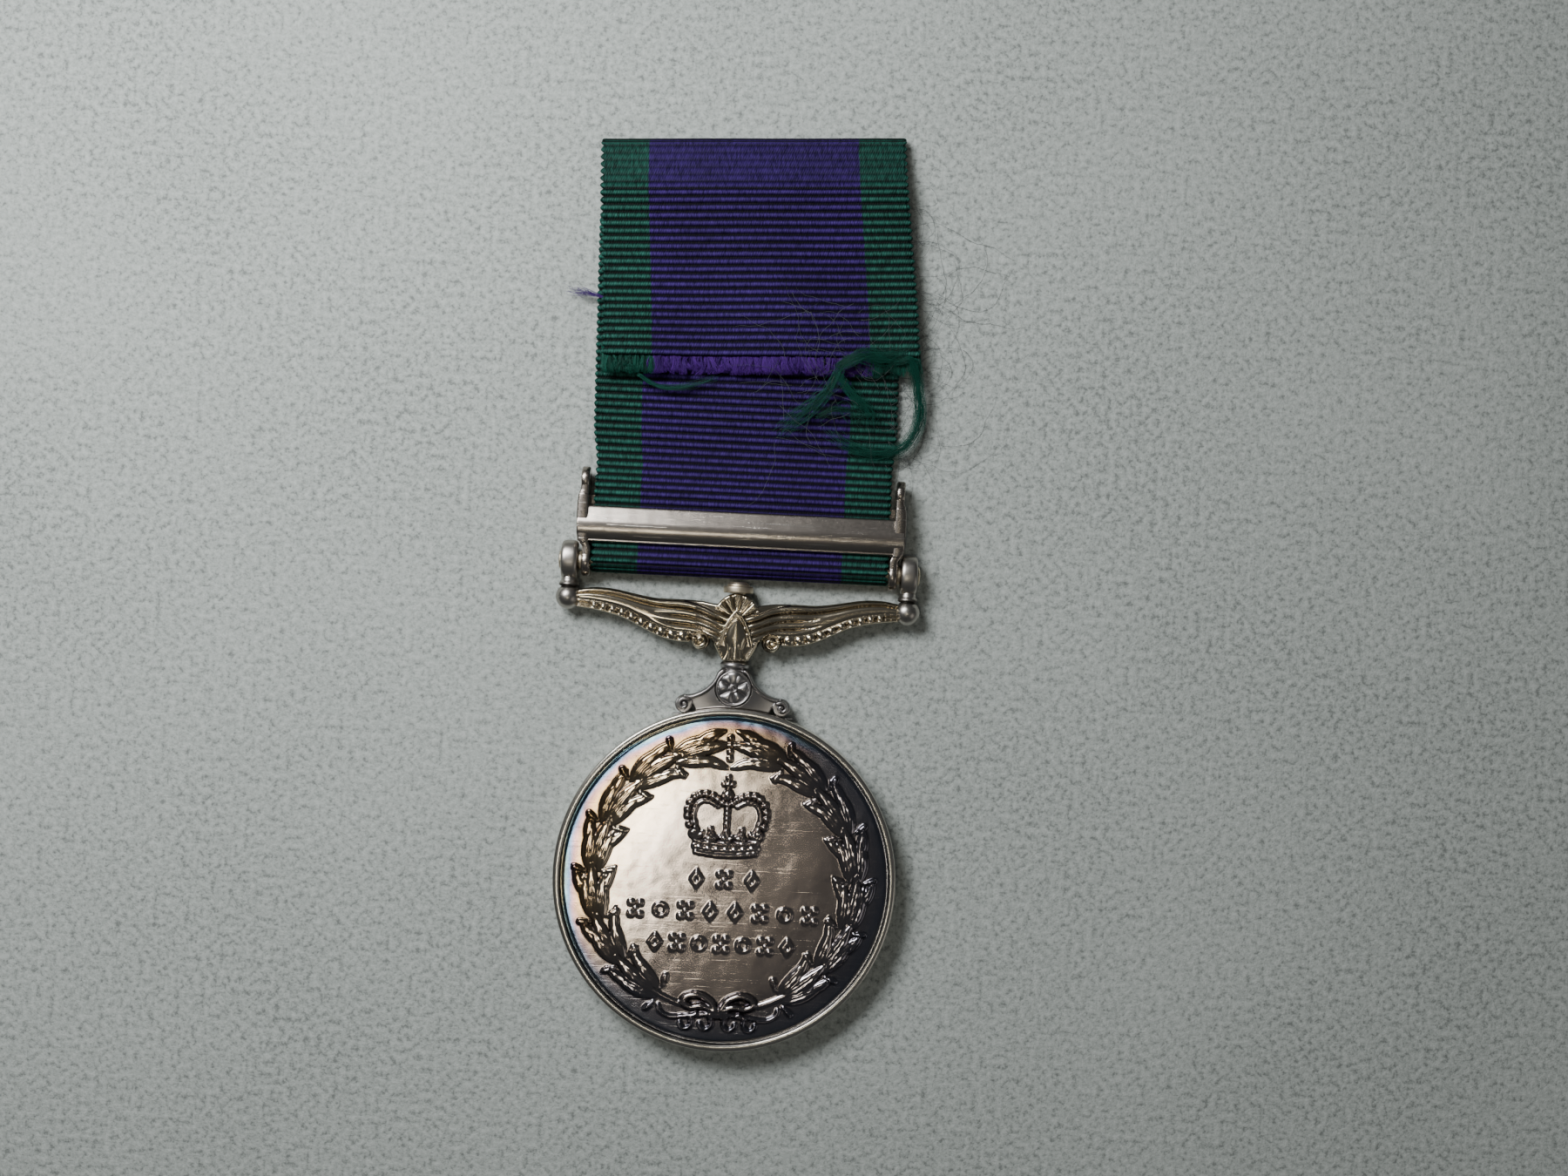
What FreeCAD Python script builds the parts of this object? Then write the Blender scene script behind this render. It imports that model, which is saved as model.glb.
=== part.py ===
"""A campaign service medal on its ribbon: struck disc, claw, swivelling suspender, one clasp and a folded ribbon.

Millimetres. It lies on its face: +Z is up, +Y runs from the disc towards the ribbon's top fold, and the origin is the
centre of the disc's lower face, on the surface it lies on.
"""

import math
import os

import FreeCAD, Part

V = FreeCAD.Vector
X, Y, Z = V(1, 0, 0), V(0, 1, 0), V(0, 0, 1)

# ---- driving dimensions -------------------------------------------------------------------------------------------
DISC_RADIUS = 18.0
DISC_THICKNESS = 3.2
MID = DISC_THICKNESS / 2  # every metal part is centred on this plane
RIM_WIDTH = 0.6
FIELD_DEPTH = 0.42  # how far each face's field lies below its rim
WREATH_RADIUS = 13.6
WREATH_WIDTH = 3.8
WREATH_HEIGHT = 0.32
WREATH_LEAVES = 28  # in pairs, side by side round the band
FACE_BOSS_RADIUS = 2.4  # a flat-topped boss in the middle of the lower face, level with its rim

CLAW_THICKNESS = 2.5
CLAW_FOOT = (5.15, 18.22, 0.95)  # x, y and radius of a scroll foot
ROSETTE_Y = 20.1
ROSETTE_RADIUS = 1.93
NECK_RADIUS = 1.25
CLAW_TOP_Y = 22.1
PEG_RADIUS = 0.5
PEG_SPAN = (16.2, 18.9)  # along Y, hidden half in the disc and half in the claw

POST_RADIUS = 0.7
SWIVEL_CLEARANCE = 0.05
COLLAR_RADIUS = 1.55
COLLAR_TOP_Y = 22.92
SUSPENDER_BOTTOM_Y = 22.98
SUSPENDER_TOP_Y = 30.1
WASHER_RADIUS = 1.55
WASHER_SPAN = (30.15, 30.85)
RIVET_RADIUS = 0.95
RIVET_TOP_Y = 31.3

WING_THICKNESS = 1.9
HUB_THICKNESS = 3.0
BALL = (17.9, 28.9, 1.33)  # x, y and radius of the knob that ends each wing
EYE_THICKNESS = 1.7
EYE_RISE = 1.95  # of the eye's top above the rod's axis
BEADS_PER_WING = 10

ROD_Y = 32.8
ROD_RADIUS = 0.7
ROD_HEAD_RADIUS = 1.0
ROD_HEAD_HEIGHT = 0.25
SPACER_RADIUS = 0.95

CLASP_INNER = 15.72  # half the gap between the lower lugs
LUG_THICKNESS = 0.86
UPPER_LUG_INNER = 16.15
CLASP_HALF_WIDTH = 17.4
CLASP_SPAN = (34.7, 39.8)  # the carriage, along Y
STRAP_SPAN = (34.8, 38.65)
STRAP_Z = (2.35, 3.3)
PLATE_TOP_Z = 0.85
PANEL_RECESS = 0.15
PANEL_BORDER = 0.55
UPPER_LUG_TOP_Y = 42.8
NEXT_CLASP_HOLE = (41.3, 0.5)  # y and radius

RIBBON_THICKNESS = 0.45
RIBBON_WIDTH = 32.2
RIBBON_WIDTH_IN_CLASP = 31.1
RIBBON_TOP_Y = 78.4
FLAP_END_Y = 53.0
HIDDEN_END_Y = 70.0

ROD_CLEARANCE = 0.02
EYE_CLEARANCE = 0.05
SIDE_CLEARANCE = 0.08


# ---- helpers ------------------------------------------------------------------------------------------------------
def rod_along(axis, radius, start, end, y=0.0, z=MID):
    """A cylinder along X or Y between two stations."""
    base = V(start, y, z) if axis == X else V(0, start, z)
    return Part.makeCylinder(radius, end - start, base, axis)


def prism(outline, z_low, z_high):
    """Extrudes a closed plan outline, a list of edges, between two heights."""
    wire = Part.Wire(outline)
    wire.translate(V(0, 0, z_low))
    return Part.Face(wire).extrude(V(0, 0, z_high - z_low))


def polygon(points):
    """Straight edges round plan points."""
    ring = [V(x, y, 0) for x, y in points]
    return [Part.LineSegment(a, b).toShape() for a, b in zip(ring, ring[1:] + ring[:1])]


def mirrored(shape):
    """The shape's twin across the plane of symmetry."""
    return shape.mirror(V(0, 0, 0), X)


def fused(shapes):
    """One clean solid from overlapping ones."""
    whole = shapes[0].multiFuse(shapes[1:]).removeSplitter()
    return whole.Solids[0] if len(whole.Solids) == 1 else whole


def spline(points):
    """A smooth plan edge through points."""
    curve = Part.BSplineCurve()
    curve.interpolate([V(x, y, 0) for x, y in points])
    return curve.toShape()


def plan_arc(start, middle, end):
    return Part.Arc(*(V(x, y, 0) for x, y in (start, middle, end))).toShape()


def plan_line(start, end):
    return Part.LineSegment(V(*start, 0), V(*end, 0)).toShape()


# ---- the struck disc ----------------------------------------------------------------------------------------------
def disc_blank():
    """The planchet: a full-thickness rim round a field sunk on both faces."""
    inner = DISC_RADIUS - RIM_WIDTH
    blank = Part.makeCylinder(DISC_RADIUS, DISC_THICKNESS)
    blank = blank.makeFillet(0.18, [e for e in blank.Edges if e.Closed])
    upper = Part.makeCylinder(inner, FIELD_DEPTH, V(0, 0, DISC_THICKNESS - FIELD_DEPTH))
    lower = Part.makeCylinder(inner, FIELD_DEPTH)
    return blank.cut(upper).cut(lower)


def leaf(radius, angle):
    """A lens-shaped leaf pad lying along the wreath's circle, through the disc so that it stands on both faces."""
    half = math.pi * radius / WREATH_LEAVES * 1.8
    width = WREATH_WIDTH / 4 * 0.92
    outline = [plan_arc((-half, 0), (0, width), (half, 0)), plan_arc((half, 0), (0, -width), (-half, 0))]
    low = FIELD_DEPTH - WREATH_HEIGHT
    pad = prism(outline, low, DISC_THICKNESS - low)
    pad.translate(V(0, radius, 0))
    pad.rotate(V(0, 0, 0), Z, angle)
    return pad


def medal_disc():
    pitch = 720 / WREATH_LEAVES
    rows = (WREATH_RADIUS - WREATH_WIDTH / 4, WREATH_RADIUS + WREATH_WIDTH / 4)
    leaves = [leaf(row, pitch * (i + 0.5)) for row in rows for i in range(WREATH_LEAVES // 2)]
    boss = Part.makeCylinder(FACE_BOSS_RADIUS, MID)
    disc = fused([disc_blank(), boss, *leaves])
    return disc.cut(rod_along(Y, PEG_RADIUS, PEG_SPAN[0], DISC_RADIUS + 1))


# ---- claw and swivel ----------------------------------------------------------------------------------------------
def claw_outline():
    """Half the claw's plan, from the neck out to a scroll foot and back under the foot to the axis."""
    foot_x, foot_y, foot_r = CLAW_FOOT
    side = spline([(NECK_RADIUS, CLAW_TOP_Y), (2.05, 21.5), (2.5, 20.6), (3.6, 19.5), (foot_x, foot_y + foot_r)])
    bottom_y = foot_y - foot_r
    under = plan_line((foot_x, foot_y + foot_r), (foot_x, bottom_y - 1))
    return [
        side,
        under,
        plan_line((foot_x, bottom_y - 1), (0, bottom_y - 1)),
        plan_line((0, bottom_y - 1), (0, CLAW_TOP_Y)),
        plan_line((0, CLAW_TOP_Y), (NECK_RADIUS, CLAW_TOP_Y)),
    ]


def suspender_claw():
    """The claw sits on the disc's edge: two scroll feet, a rosette boss on each face and a turned neck."""
    foot_x, foot_y, foot_r = CLAW_FOOT
    low, high = MID - CLAW_THICKNESS / 2, MID + CLAW_THICKNESS / 2
    half = prism(claw_outline(), low, high)
    foot = Part.makeCylinder(foot_r, CLAW_THICKNESS, V(foot_x, foot_y, low))
    rosette = Part.makeCylinder(ROSETTE_RADIUS, DISC_THICKNESS, V(0, ROSETTE_Y, 0))
    rosette = rosette.makeChamfer(0.3, [e for e in rosette.Edges if e.Closed])
    neck = Part.makeCylinder(NECK_RADIUS + 0.2, CLAW_TOP_Y - ROSETTE_Y, V(0, ROSETTE_Y, MID), Y)
    claw = fused([half, mirrored(half), foot, mirrored(foot), rosette, neck])
    claw = claw.cut(Part.makeCylinder(DISC_RADIUS, 4 * DISC_THICKNESS, V(0, 0, -DISC_THICKNESS)))
    claw = claw.cut(rod_along(Y, PEG_RADIUS, DISC_RADIUS - 1, PEG_SPAN[1]))
    return claw.cut(rod_along(Y, POST_RADIUS, ROSETTE_Y, CLAW_TOP_Y + 1))


def claw_peg():
    return rod_along(Y, PEG_RADIUS, *PEG_SPAN)


def swivel_collar():
    """A turned bead on the post, which the suspender bears on."""
    height = COLLAR_TOP_Y - CLAW_TOP_Y
    ring = Part.makeCylinder(COLLAR_RADIUS, height, V(0, CLAW_TOP_Y, MID), Y)
    ring = ring.makeFillet(height * 0.35, [e for e in ring.Edges if e.Closed])
    return ring.cut(rod_along(Y, POST_RADIUS, CLAW_TOP_Y - 1, COLLAR_TOP_Y + 1))


def swivel_post():
    """The post is fixed in the claw, runs through the suspender, and is peened over the washer."""
    shank = rod_along(Y, POST_RADIUS, ROSETTE_Y, RIVET_TOP_Y - 0.1)
    head = Part.makeCylinder(RIVET_RADIUS, RIVET_TOP_Y - WASHER_SPAN[1], V(0, WASHER_SPAN[1], MID), Y)
    rim = max((e for e in head.Edges if e.Closed), key=lambda e: e.CenterOfMass.y)
    return fused([shank, head.makeFillet(0.25, [rim])])


def swivel_washer():
    low, high = WASHER_SPAN
    washer = Part.makeCylinder(WASHER_RADIUS, high - low, V(0, low, MID), Y)
    washer = washer.makeFillet(0.12, [e for e in washer.Edges if e.Closed])
    return washer.cut(rod_along(Y, POST_RADIUS, low - 1, high + 1))


# ---- suspender ----------------------------------------------------------------------------------------------------
WING_TOP = [(2.3, 28.75), (4.5, 28.9), (7.2, 28.95), (10.5, 29.3), (13.3, 29.75), (16.6, 29.75)]
WING_BOTTOM = [(16.6, 27.85), (13.1, 27.15), (10.3, 26.05), (8.1, 25.35), (5.9, 25.0), (4.2, 24.9)]
SCROLL = (3.55, 24.85, 1.0)  # x, y and radius


def wing():
    """One arm: a gull-wing plate with a row of beads along its lower edge on both faces, and a scroll at its root."""
    x_in, x_out = WING_TOP[0][0], WING_TOP[-1][0]
    outline = [
        spline(WING_TOP),
        plan_line(WING_TOP[-1], WING_BOTTOM[0]),
        spline(WING_BOTTOM),
        plan_line(WING_BOTTOM[-1], (x_in - 1.3, WING_BOTTOM[-1][1])),
        plan_line((x_in - 1.3, WING_BOTTOM[-1][1]), (x_in - 1.3, WING_TOP[0][1])),
        plan_line((x_in - 1.3, WING_TOP[0][1]), WING_TOP[0]),
    ]
    low, high = MID - WING_THICKNESS / 2, MID + WING_THICKNESS / 2
    plate = prism(outline, low, high)
    scroll = Part.makeCylinder(SCROLL[2], WING_THICKNESS, V(SCROLL[0], SCROLL[1], low))
    first, last = 5.6, x_out - 1.0
    beads = []
    for i in range(BEADS_PER_WING):
        x = first + (last - first) * i / (BEADS_PER_WING - 1)
        radius = 0.42 - 0.018 * i
        edge = next(
            b[1] + (a[1] - b[1]) * (x - b[0]) / (a[0] - b[0])
            for a, b in zip(WING_BOTTOM, WING_BOTTOM[1:])
            if b[0] <= x <= a[0]
        )
        y = edge + radius + 0.22
        beads += [Part.makeSphere(radius, V(x, y, z)) for z in (low, high)]
    return [plate, scroll, *beads]


def eye():
    """The ball that ends a wing, and the pierced eye standing on it that turns on the rod."""
    ball_x, ball_y, ball_r = BALL
    inner = ball_x - EYE_THICKNESS / 2
    ball = Part.makeSphere(ball_r, V(ball_x, ball_y, MID))
    oval = Part.makeCylinder(MID, EYE_THICKNESS, V(inner, 0, 0), X)
    stretch = FreeCAD.Matrix()
    stretch.scale(1, EYE_RISE / MID, 1)
    oval = oval.transformGeometry(stretch)
    oval.translate(V(0, ROD_Y, MID))
    stem = Part.makeCylinder(0.8, ROD_Y - ball_y - EYE_RISE / 2, V(ball_x, ball_y, MID), Y)
    band = Part.makeCylinder(1.05, 0.3, V(ball_x, ball_y + ball_r - 0.12, MID), Y)
    whole = fused([ball, oval, stem, band])
    return whole.cut(rod_along(X, ROD_RADIUS + EYE_CLEARANCE, inner - 1, inner + EYE_THICKNESS + 1, ROD_Y))


def hub():
    """The thick middle: a tapering body with a pointed shield and a fan above it, bored for the post."""
    low = MID - HUB_THICKNESS / 2
    lower = [(1.25, SUSPENDER_BOTTOM_Y), (2.0, 24.2), (2.4, 25.6), (2.3, 27.2), (0.0, 28.9)]
    half = [
        spline(lower[:4]),
        plan_line(lower[3], lower[4]),
        plan_line(lower[4], (0, SUSPENDER_BOTTOM_Y)),
        plan_line((0, SUSPENDER_BOTTOM_Y), lower[0]),
    ]
    body = prism(half, low, low + HUB_THICKNESS)
    fan_thickness = HUB_THICKNESS - 0.3
    fan = Part.makeCylinder(2.45, fan_thickness, V(0, 27.9, MID - fan_thickness / 2))
    above = Part.makeBox(6, 4, 4, V(-3, 27.0, MID - 2))
    below_top = Part.makeBox(6, SUSPENDER_TOP_Y - 20, 4, V(-3, 20, MID - 2))
    return [body, mirrored(body), fan.common(above).common(below_top)]


def suspender():
    one = wing()
    both = one + [mirrored(s) for s in one]
    ends = [eye(), mirrored(eye())]
    whole = fused(both + hub() + ends)
    bore = rod_along(Y, POST_RADIUS + SWIVEL_CLEARANCE, SUSPENDER_BOTTOM_Y - 1, SUSPENDER_TOP_Y + 1)
    flat_top = Part.makeBox(4, 2, 4, V(-2, SUSPENDER_TOP_Y, MID - 2))
    return whole.cut(bore).cut(flat_top)


# ---- rod ----------------------------------------------------------------------------------------------------------
def ribbon_rod():
    """The rod that the ribbon goes round, riveted through the clasp's lower lugs and peened outside the eyes."""
    end = BALL[0] + EYE_THICKNESS / 2 + SIDE_CLEARANCE
    shank = rod_along(X, ROD_RADIUS, -end, end, ROD_Y)
    head = Part.makeCylinder(ROD_HEAD_RADIUS, ROD_HEAD_HEIGHT, V(end, ROD_Y, MID), X)
    rim = max((e for e in head.Edges if e.Closed), key=lambda e: e.CenterOfMass.x)
    head = head.makeFillet(ROD_HEAD_HEIGHT * 0.8, [rim])
    return fused([shank, head, mirrored(head)])


def rod_spacer():
    """A thin ring that keeps the eye clear of the clasp's lug."""
    start = CLASP_INNER + LUG_THICKNESS
    end = BALL[0] - EYE_THICKNESS / 2 - SIDE_CLEARANCE
    ring = rod_along(X, SPACER_RADIUS, start, end, ROD_Y)
    return ring.cut(rod_along(X, ROD_RADIUS, start - 1, end + 1, ROD_Y))


# ---- clasp --------------------------------------------------------------------------------------------------------
def clasp_side():
    """The right carriage plate: its lower lug turns in, and its upper lug steps out so that another clasp nests in it."""
    inner, outer = CLASP_INNER, CLASP_INNER + LUG_THICKNESS
    upper_outer = UPPER_LUG_INNER + LUG_THICKNESS
    low_y, high_y = CLASP_SPAN
    bottom, top = ROD_Y - 1.65, UPPER_LUG_TOP_Y
    plan = [
        plan_line((inner, bottom), (inner, low_y - 0.5)),
        plan_line((inner, low_y - 0.5), (UPPER_LUG_INNER, low_y)),
        plan_line((UPPER_LUG_INNER, low_y), (UPPER_LUG_INNER, top)),
        plan_line((UPPER_LUG_INNER, top), (upper_outer, top)),
        plan_line((upper_outer, top), (upper_outer, high_y)),
        plan_arc((upper_outer, high_y), (CLASP_HALF_WIDTH - 0.15, (low_y + high_y) / 2 + 0.4), (outer, low_y - 0.5)),
        plan_line((outer, low_y - 0.5), (outer, bottom)),
        plan_line((outer, bottom), (inner, bottom)),
    ]
    plate = prism(plan, 0, DISC_THICKNESS)
    return plate.common(side_profile(inner - 0.5, CLASP_HALF_WIDTH + 0.5)).cut(lug_holes())


def side_profile(x_low, x_high):
    """The carriage plate seen along X: rounded lower and upper lugs and a square middle that stands on the face plate."""
    low_y, high_y = CLASP_SPAN
    lower = Part.makeCylinder(1.5, x_high - x_low, V(x_low, ROD_Y - 0.15, MID), X)
    neck = Part.makeBox(x_high - x_low, low_y - ROD_Y + 0.3, 2.6, V(x_low, ROD_Y - 0.15, MID - 1.3))
    middle_base = V(x_low, low_y, PLATE_TOP_Z)
    middle = Part.makeBox(x_high - x_low, high_y - low_y, STRAP_Z[1] - 0.25 - PLATE_TOP_Z, middle_base)
    hole_y = NEXT_CLASP_HOLE[0]
    upper = Part.makeBox(x_high - x_low, hole_y - high_y + 0.2, 2.4, V(x_low, high_y - 0.2, PLATE_TOP_Z))
    tip = Part.makeCylinder(UPPER_LUG_TOP_Y - hole_y, x_high - x_low, V(x_low, hole_y, MID), X)
    upper = upper.common(Part.makeBox(40, 40, 2 * MID, V(x_low - 1, 20, 0.1)))
    plate_room = Part.makeBox(x_high - x_low, high_y - low_y, PLATE_TOP_Z, V(x_low, low_y, 0))
    return fused([lower, neck, middle, upper, tip]).cut(plate_room)


def lug_holes():
    hole_y, hole_r = NEXT_CLASP_HOLE
    lower = rod_along(X, ROD_RADIUS + ROD_CLEARANCE, 10, 20, ROD_Y)
    return lower.fuse(rod_along(X, hole_r, 10, 20, hole_y))


def clasp_front_plate():
    """The face plate, worn outwards: a sunk blank panel inside a plain border, with round ends."""
    low_y, high_y = CLASP_SPAN
    mid_y, flat = (low_y + high_y) / 2, CLASP_HALF_WIDTH - 0.75
    outline = [
        plan_line((-flat, low_y), (flat, low_y)),
        plan_arc((flat, low_y), (CLASP_HALF_WIDTH, mid_y), (flat, high_y)),
        plan_line((flat, high_y), (-flat, high_y)),
        plan_arc((-flat, high_y), (-CLASP_HALF_WIDTH, mid_y), (-flat, low_y)),
    ]
    panel = Part.makeBox(
        2 * (flat - PANEL_BORDER),
        high_y - low_y - 2 * PANEL_BORDER,
        PANEL_RECESS,
        V(PANEL_BORDER - flat, low_y + PANEL_BORDER, 0),
    )
    return prism(outline, 0, PLATE_TOP_Z).cut(panel)


def clasp_back_strap():
    """The domed strap behind the ribbon, soldered between the carriage plates."""
    low_y, high_y = STRAP_SPAN
    base, top = STRAP_Z
    edge = base + 0.3
    start = -UPPER_LUG_INNER

    def at(y, z):
        return V(start, y, z)

    crest = Part.Arc(at(low_y, edge), at(low_y + (high_y - low_y) * 0.45, top), at(high_y, edge)).toShape()
    corners = [at(high_y, edge), at(high_y, base), at(low_y, base), at(low_y, edge)]
    sides = [Part.LineSegment(a, b).toShape() for a, b in zip(corners, corners[1:])]
    return Part.Face(Part.Wire([crest, *sides])).extrude(V(2 * UPPER_LUG_INNER, 0, 0))


# ---- ribbon -------------------------------------------------------------------------------------------------------
def rounded_runs(points, radii):
    """Straight runs and tangent arcs through (y, z) points, as (start, middle or None, end, turn) for each piece."""
    pieces, at = [], points[0]
    for before, corner, after, radius in zip(points, points[1:], points[2:], radii):
        a, b, c = (V(0, *p) for p in (before, corner, after))
        came, goes = (b - a).normalize(), (c - b).normalize()
        half_turn = came.getAngle(goes) / 2
        reach = radius * math.tan(half_turn)
        start, end = b - came * reach, b + goes * reach
        side = 1 if came.cross(goes).x > 0 else -1
        centre = start + X.cross(came) * side * radius
        middle = centre + (b - centre).normalize() * radius
        pieces.append((V(0, *at), None, start, 0, None))
        pieces.append((start, middle, end, side, centre))
        at = (end.y, end.z)
    pieces.append((V(0, *at), None, V(0, *points[-1]), 0, None))
    return pieces


def strip(points, radii, thickness):
    """A constant-thickness strip's outline in the YZ plane, following rounded runs."""

    def shifted(piece, offset):
        start, middle, end, _, centre = piece
        if middle is None:
            across = X.cross((end - start).normalize()) * offset
            return Part.LineSegment(start + across, end + across).toShape()
        moved = [centre + (p - centre) * (1 - piece[3] * offset / (p - centre).Length) for p in (start, middle, end)]
        return Part.Arc(*moved).toShape()

    pieces = rounded_runs(points, radii)
    left = [shifted(p, thickness / 2) for p in pieces]
    right = [shifted(p, -thickness / 2) for p in pieces]
    first, last = pieces[0], pieces[-1]
    caps = []
    for along, at in (((first[2] - first[0]).normalize(), first[0]), ((last[2] - last[0]).normalize(), last[2])):
        across = X.cross(along) * (thickness / 2)
        caps.append(Part.LineSegment(at + across, at - across).toShape())
    return Part.Face(Part.Wire(Part.__sortEdges__(left + right + caps)))


def wrap_corner(y, z, wrap):
    """Where the tangent from a point to the wrap round the rod meets the line that closes the wrap off below."""
    lean = math.asin(wrap / math.hypot(y - ROD_Y, z - MID)) - math.atan2(abs(z - MID), y - ROD_Y)
    corner_y = ROD_Y - wrap
    rise = (y - corner_y) * math.tan(lean)
    return corner_y, z + math.copysign(rise, z - MID)


def ribbon_path():
    """(y, z) corners and radii of the ribbon's middle: under the flap, down the back, round the rod, up the front,
    over the top fold and down to the cut end of the flap."""
    half = RIBBON_THICKNESS / 2
    wrap = ROD_RADIUS + ROD_CLEARANCE + half
    layer = RIBBON_THICKNESS + 0.06
    front, back = half, half + layer
    gather = 0.42  # between each layer and the middle plane where the clasp squeezes them together
    top_y = RIBBON_TOP_Y - half
    clasp_low, clasp_high = STRAP_SPAN[0] - 0.2, CLASP_SPAN[1] + 0.5
    corners = [
        ((HIDDEN_END_Y, back), None),
        ((clasp_high + 5.2, back), 8.0),
        ((clasp_high, MID + gather), 8.0),
        ((clasp_low, MID + gather), 2.0),
        (wrap_corner(clasp_low, MID + gather, wrap), wrap - 0.001),
        (wrap_corner(clasp_low, MID - gather, wrap), wrap - 0.001),
        ((clasp_low, MID - gather), 2.0),
        ((clasp_high, MID - gather), 8.0),
        ((clasp_high + 3.6, front), 8.0),
        ((top_y, front), 0.42),
        ((top_y, 1.35), 0.42),
        ((72.6, 2.2), 6.0),
        ((64.0, 1.6), 20.0),
        ((FLAP_END_Y, 1.75), None),
    ]
    return [c[0] for c in corners], [c[1] for c in corners[1:-1]]


def ribbon():
    points, radii = ribbon_path()
    face = strip(points, radii, RIBBON_THICKNESS)
    face.translate(V(-RIBBON_WIDTH, 0, 0))
    solid = face.extrude(V(2 * RIBBON_WIDTH, 0, 0))
    narrow, wide = RIBBON_WIDTH_IN_CLASP / 2, RIBBON_WIDTH / 2
    right = [(narrow, 30), (narrow, UPPER_LUG_TOP_Y), (wide, UPPER_LUG_TOP_Y + 6), (wide, RIBBON_TOP_Y + 1)]
    plan = prism(polygon(right + [(-x, y) for x, y in reversed(right)]), -1, 5)
    return solid.common(plan)


# ---- output -------------------------------------------------------------------------------------------------------
def nodes():
    side, spacer = clasp_side(), rod_spacer()
    return {
        "medal_disc": medal_disc(),
        "suspender_claw": suspender_claw(),
        "claw_peg": claw_peg(),
        "swivel_collar": swivel_collar(),
        "swivel_post": swivel_post(),
        "swivel_washer": swivel_washer(),
        "suspender": suspender(),
        "ribbon_rod": ribbon_rod(),
        "rod_spacer_right": spacer,
        "rod_spacer_left": mirrored(spacer),
        "clasp_side_right": side,
        "clasp_side_left": mirrored(side),
        "clasp_front_plate": clasp_front_plate(),
        "clasp_back_strap": clasp_back_strap(),
        "ribbon": ribbon(),
    }


os.makedirs("parts", exist_ok=True)
for name, shape in nodes().items():
    shape.exportStep(f"parts/{name}.step")
    box = shape.optimalBoundingBox(False)
    size = " x ".join(f"{length:.2f}" for length in (box.XLength, box.YLength, box.ZLength))
    print(f"{name}: {len(shape.Solids)} solid, valid {shape.isValid()}, {size} mm, z from {box.ZMin:.2f}")
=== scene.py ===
# Looks for the service medal: struck relief, a cast suspender, a worn clasp
# and a corded silk ribbon with a frayed end.
# Lengths are millimetres in the CAD's frame, and meshes are scaled to metres when they are made.
# The lights' places and sizes and the floor's size are in metres.

import math
import random

import bpy
import numpy as np
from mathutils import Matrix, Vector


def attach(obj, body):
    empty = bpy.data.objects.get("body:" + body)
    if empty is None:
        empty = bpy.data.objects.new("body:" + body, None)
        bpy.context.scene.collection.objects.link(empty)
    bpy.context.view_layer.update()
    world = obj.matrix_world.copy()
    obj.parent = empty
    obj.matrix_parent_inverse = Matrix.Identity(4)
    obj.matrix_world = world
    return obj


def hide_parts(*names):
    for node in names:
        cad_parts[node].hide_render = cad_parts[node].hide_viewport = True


MM = 0.001
MID = 1.6  # middle plane of every metal part
DISC_RADIUS = 18.0
DISC_THICKNESS = 3.2
FIELD_RADIUS = 17.22
FIELD_DEPTH = 0.42
RELIEF_CELL = 0.1
ROD_Y = 32.8
ROD_RADIUS = 0.7
BALL_X = 17.9  # the suspender's ball ends and eyes
STRAP_Y = 37.25  # middle of the clasp
LUG_Y = 41.3  # the clasp's upper rivet holes
BOSS_Y = 20.1  # middle of the claw's rosettes
BOSS_RADIUS = 1.93
WREATH_RADIUS = 13.75  # the branches' stems
RIB_PITCH = 0.8
ROWS_PER_RIB = 8
RIBBON_HALF = 16.05
GREEN_FROM = 11.1  # loose threads further from the middle than this are green
FOLD_AFTER = 60.0  # the top fold lies further along the ribbon's path than this
FIBRES_PER_CLUMP = 12
HALF_PATH = 0.15  # reach to each side over which the ribbon's direction is taken
VIEW_ROLL = 2.8  # degrees that the medal lies turned from square
VIEW_CENTRE = (4.8, 30.9)
VIEW_HEIGHT = 190.0
VIEW_WIDTH = 167.0
SENSOR_WIDTH = 36
FLOOR_SIZE = 3  # metres
FLOOR_Z = -0.02
SKY_TINT = (0.80, 0.86, 0.92, 1)
SKY_STRENGTH = 0.07
LIGHT_AIM = (0.0, 0.03, 0.0)  # metres

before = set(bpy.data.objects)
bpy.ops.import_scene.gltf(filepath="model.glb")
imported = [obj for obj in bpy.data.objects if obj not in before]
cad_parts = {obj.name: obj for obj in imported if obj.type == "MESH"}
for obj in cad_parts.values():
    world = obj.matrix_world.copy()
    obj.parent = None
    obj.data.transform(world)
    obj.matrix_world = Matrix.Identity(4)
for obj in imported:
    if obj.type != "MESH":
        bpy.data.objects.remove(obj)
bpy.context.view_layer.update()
rng = random.Random(36)


# ---- camera, floor and light ----
def make_camera():
    data = bpy.data.cameras.new("camera")
    data.sensor_width = SENSOR_WIDTH
    data.lens = SENSOR_WIDTH * VIEW_HEIGHT / VIEW_WIDTH
    data.clip_start = 0.01
    camera = bpy.data.objects.new("camera", data)
    camera.location = (VIEW_CENTRE[0] * MM, VIEW_CENTRE[1] * MM, VIEW_HEIGHT * MM)
    camera.rotation_euler = (0, 0, math.radians(VIEW_ROLL))
    bpy.context.scene.collection.objects.link(camera)
    bpy.context.scene.camera = camera


make_camera()


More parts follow.
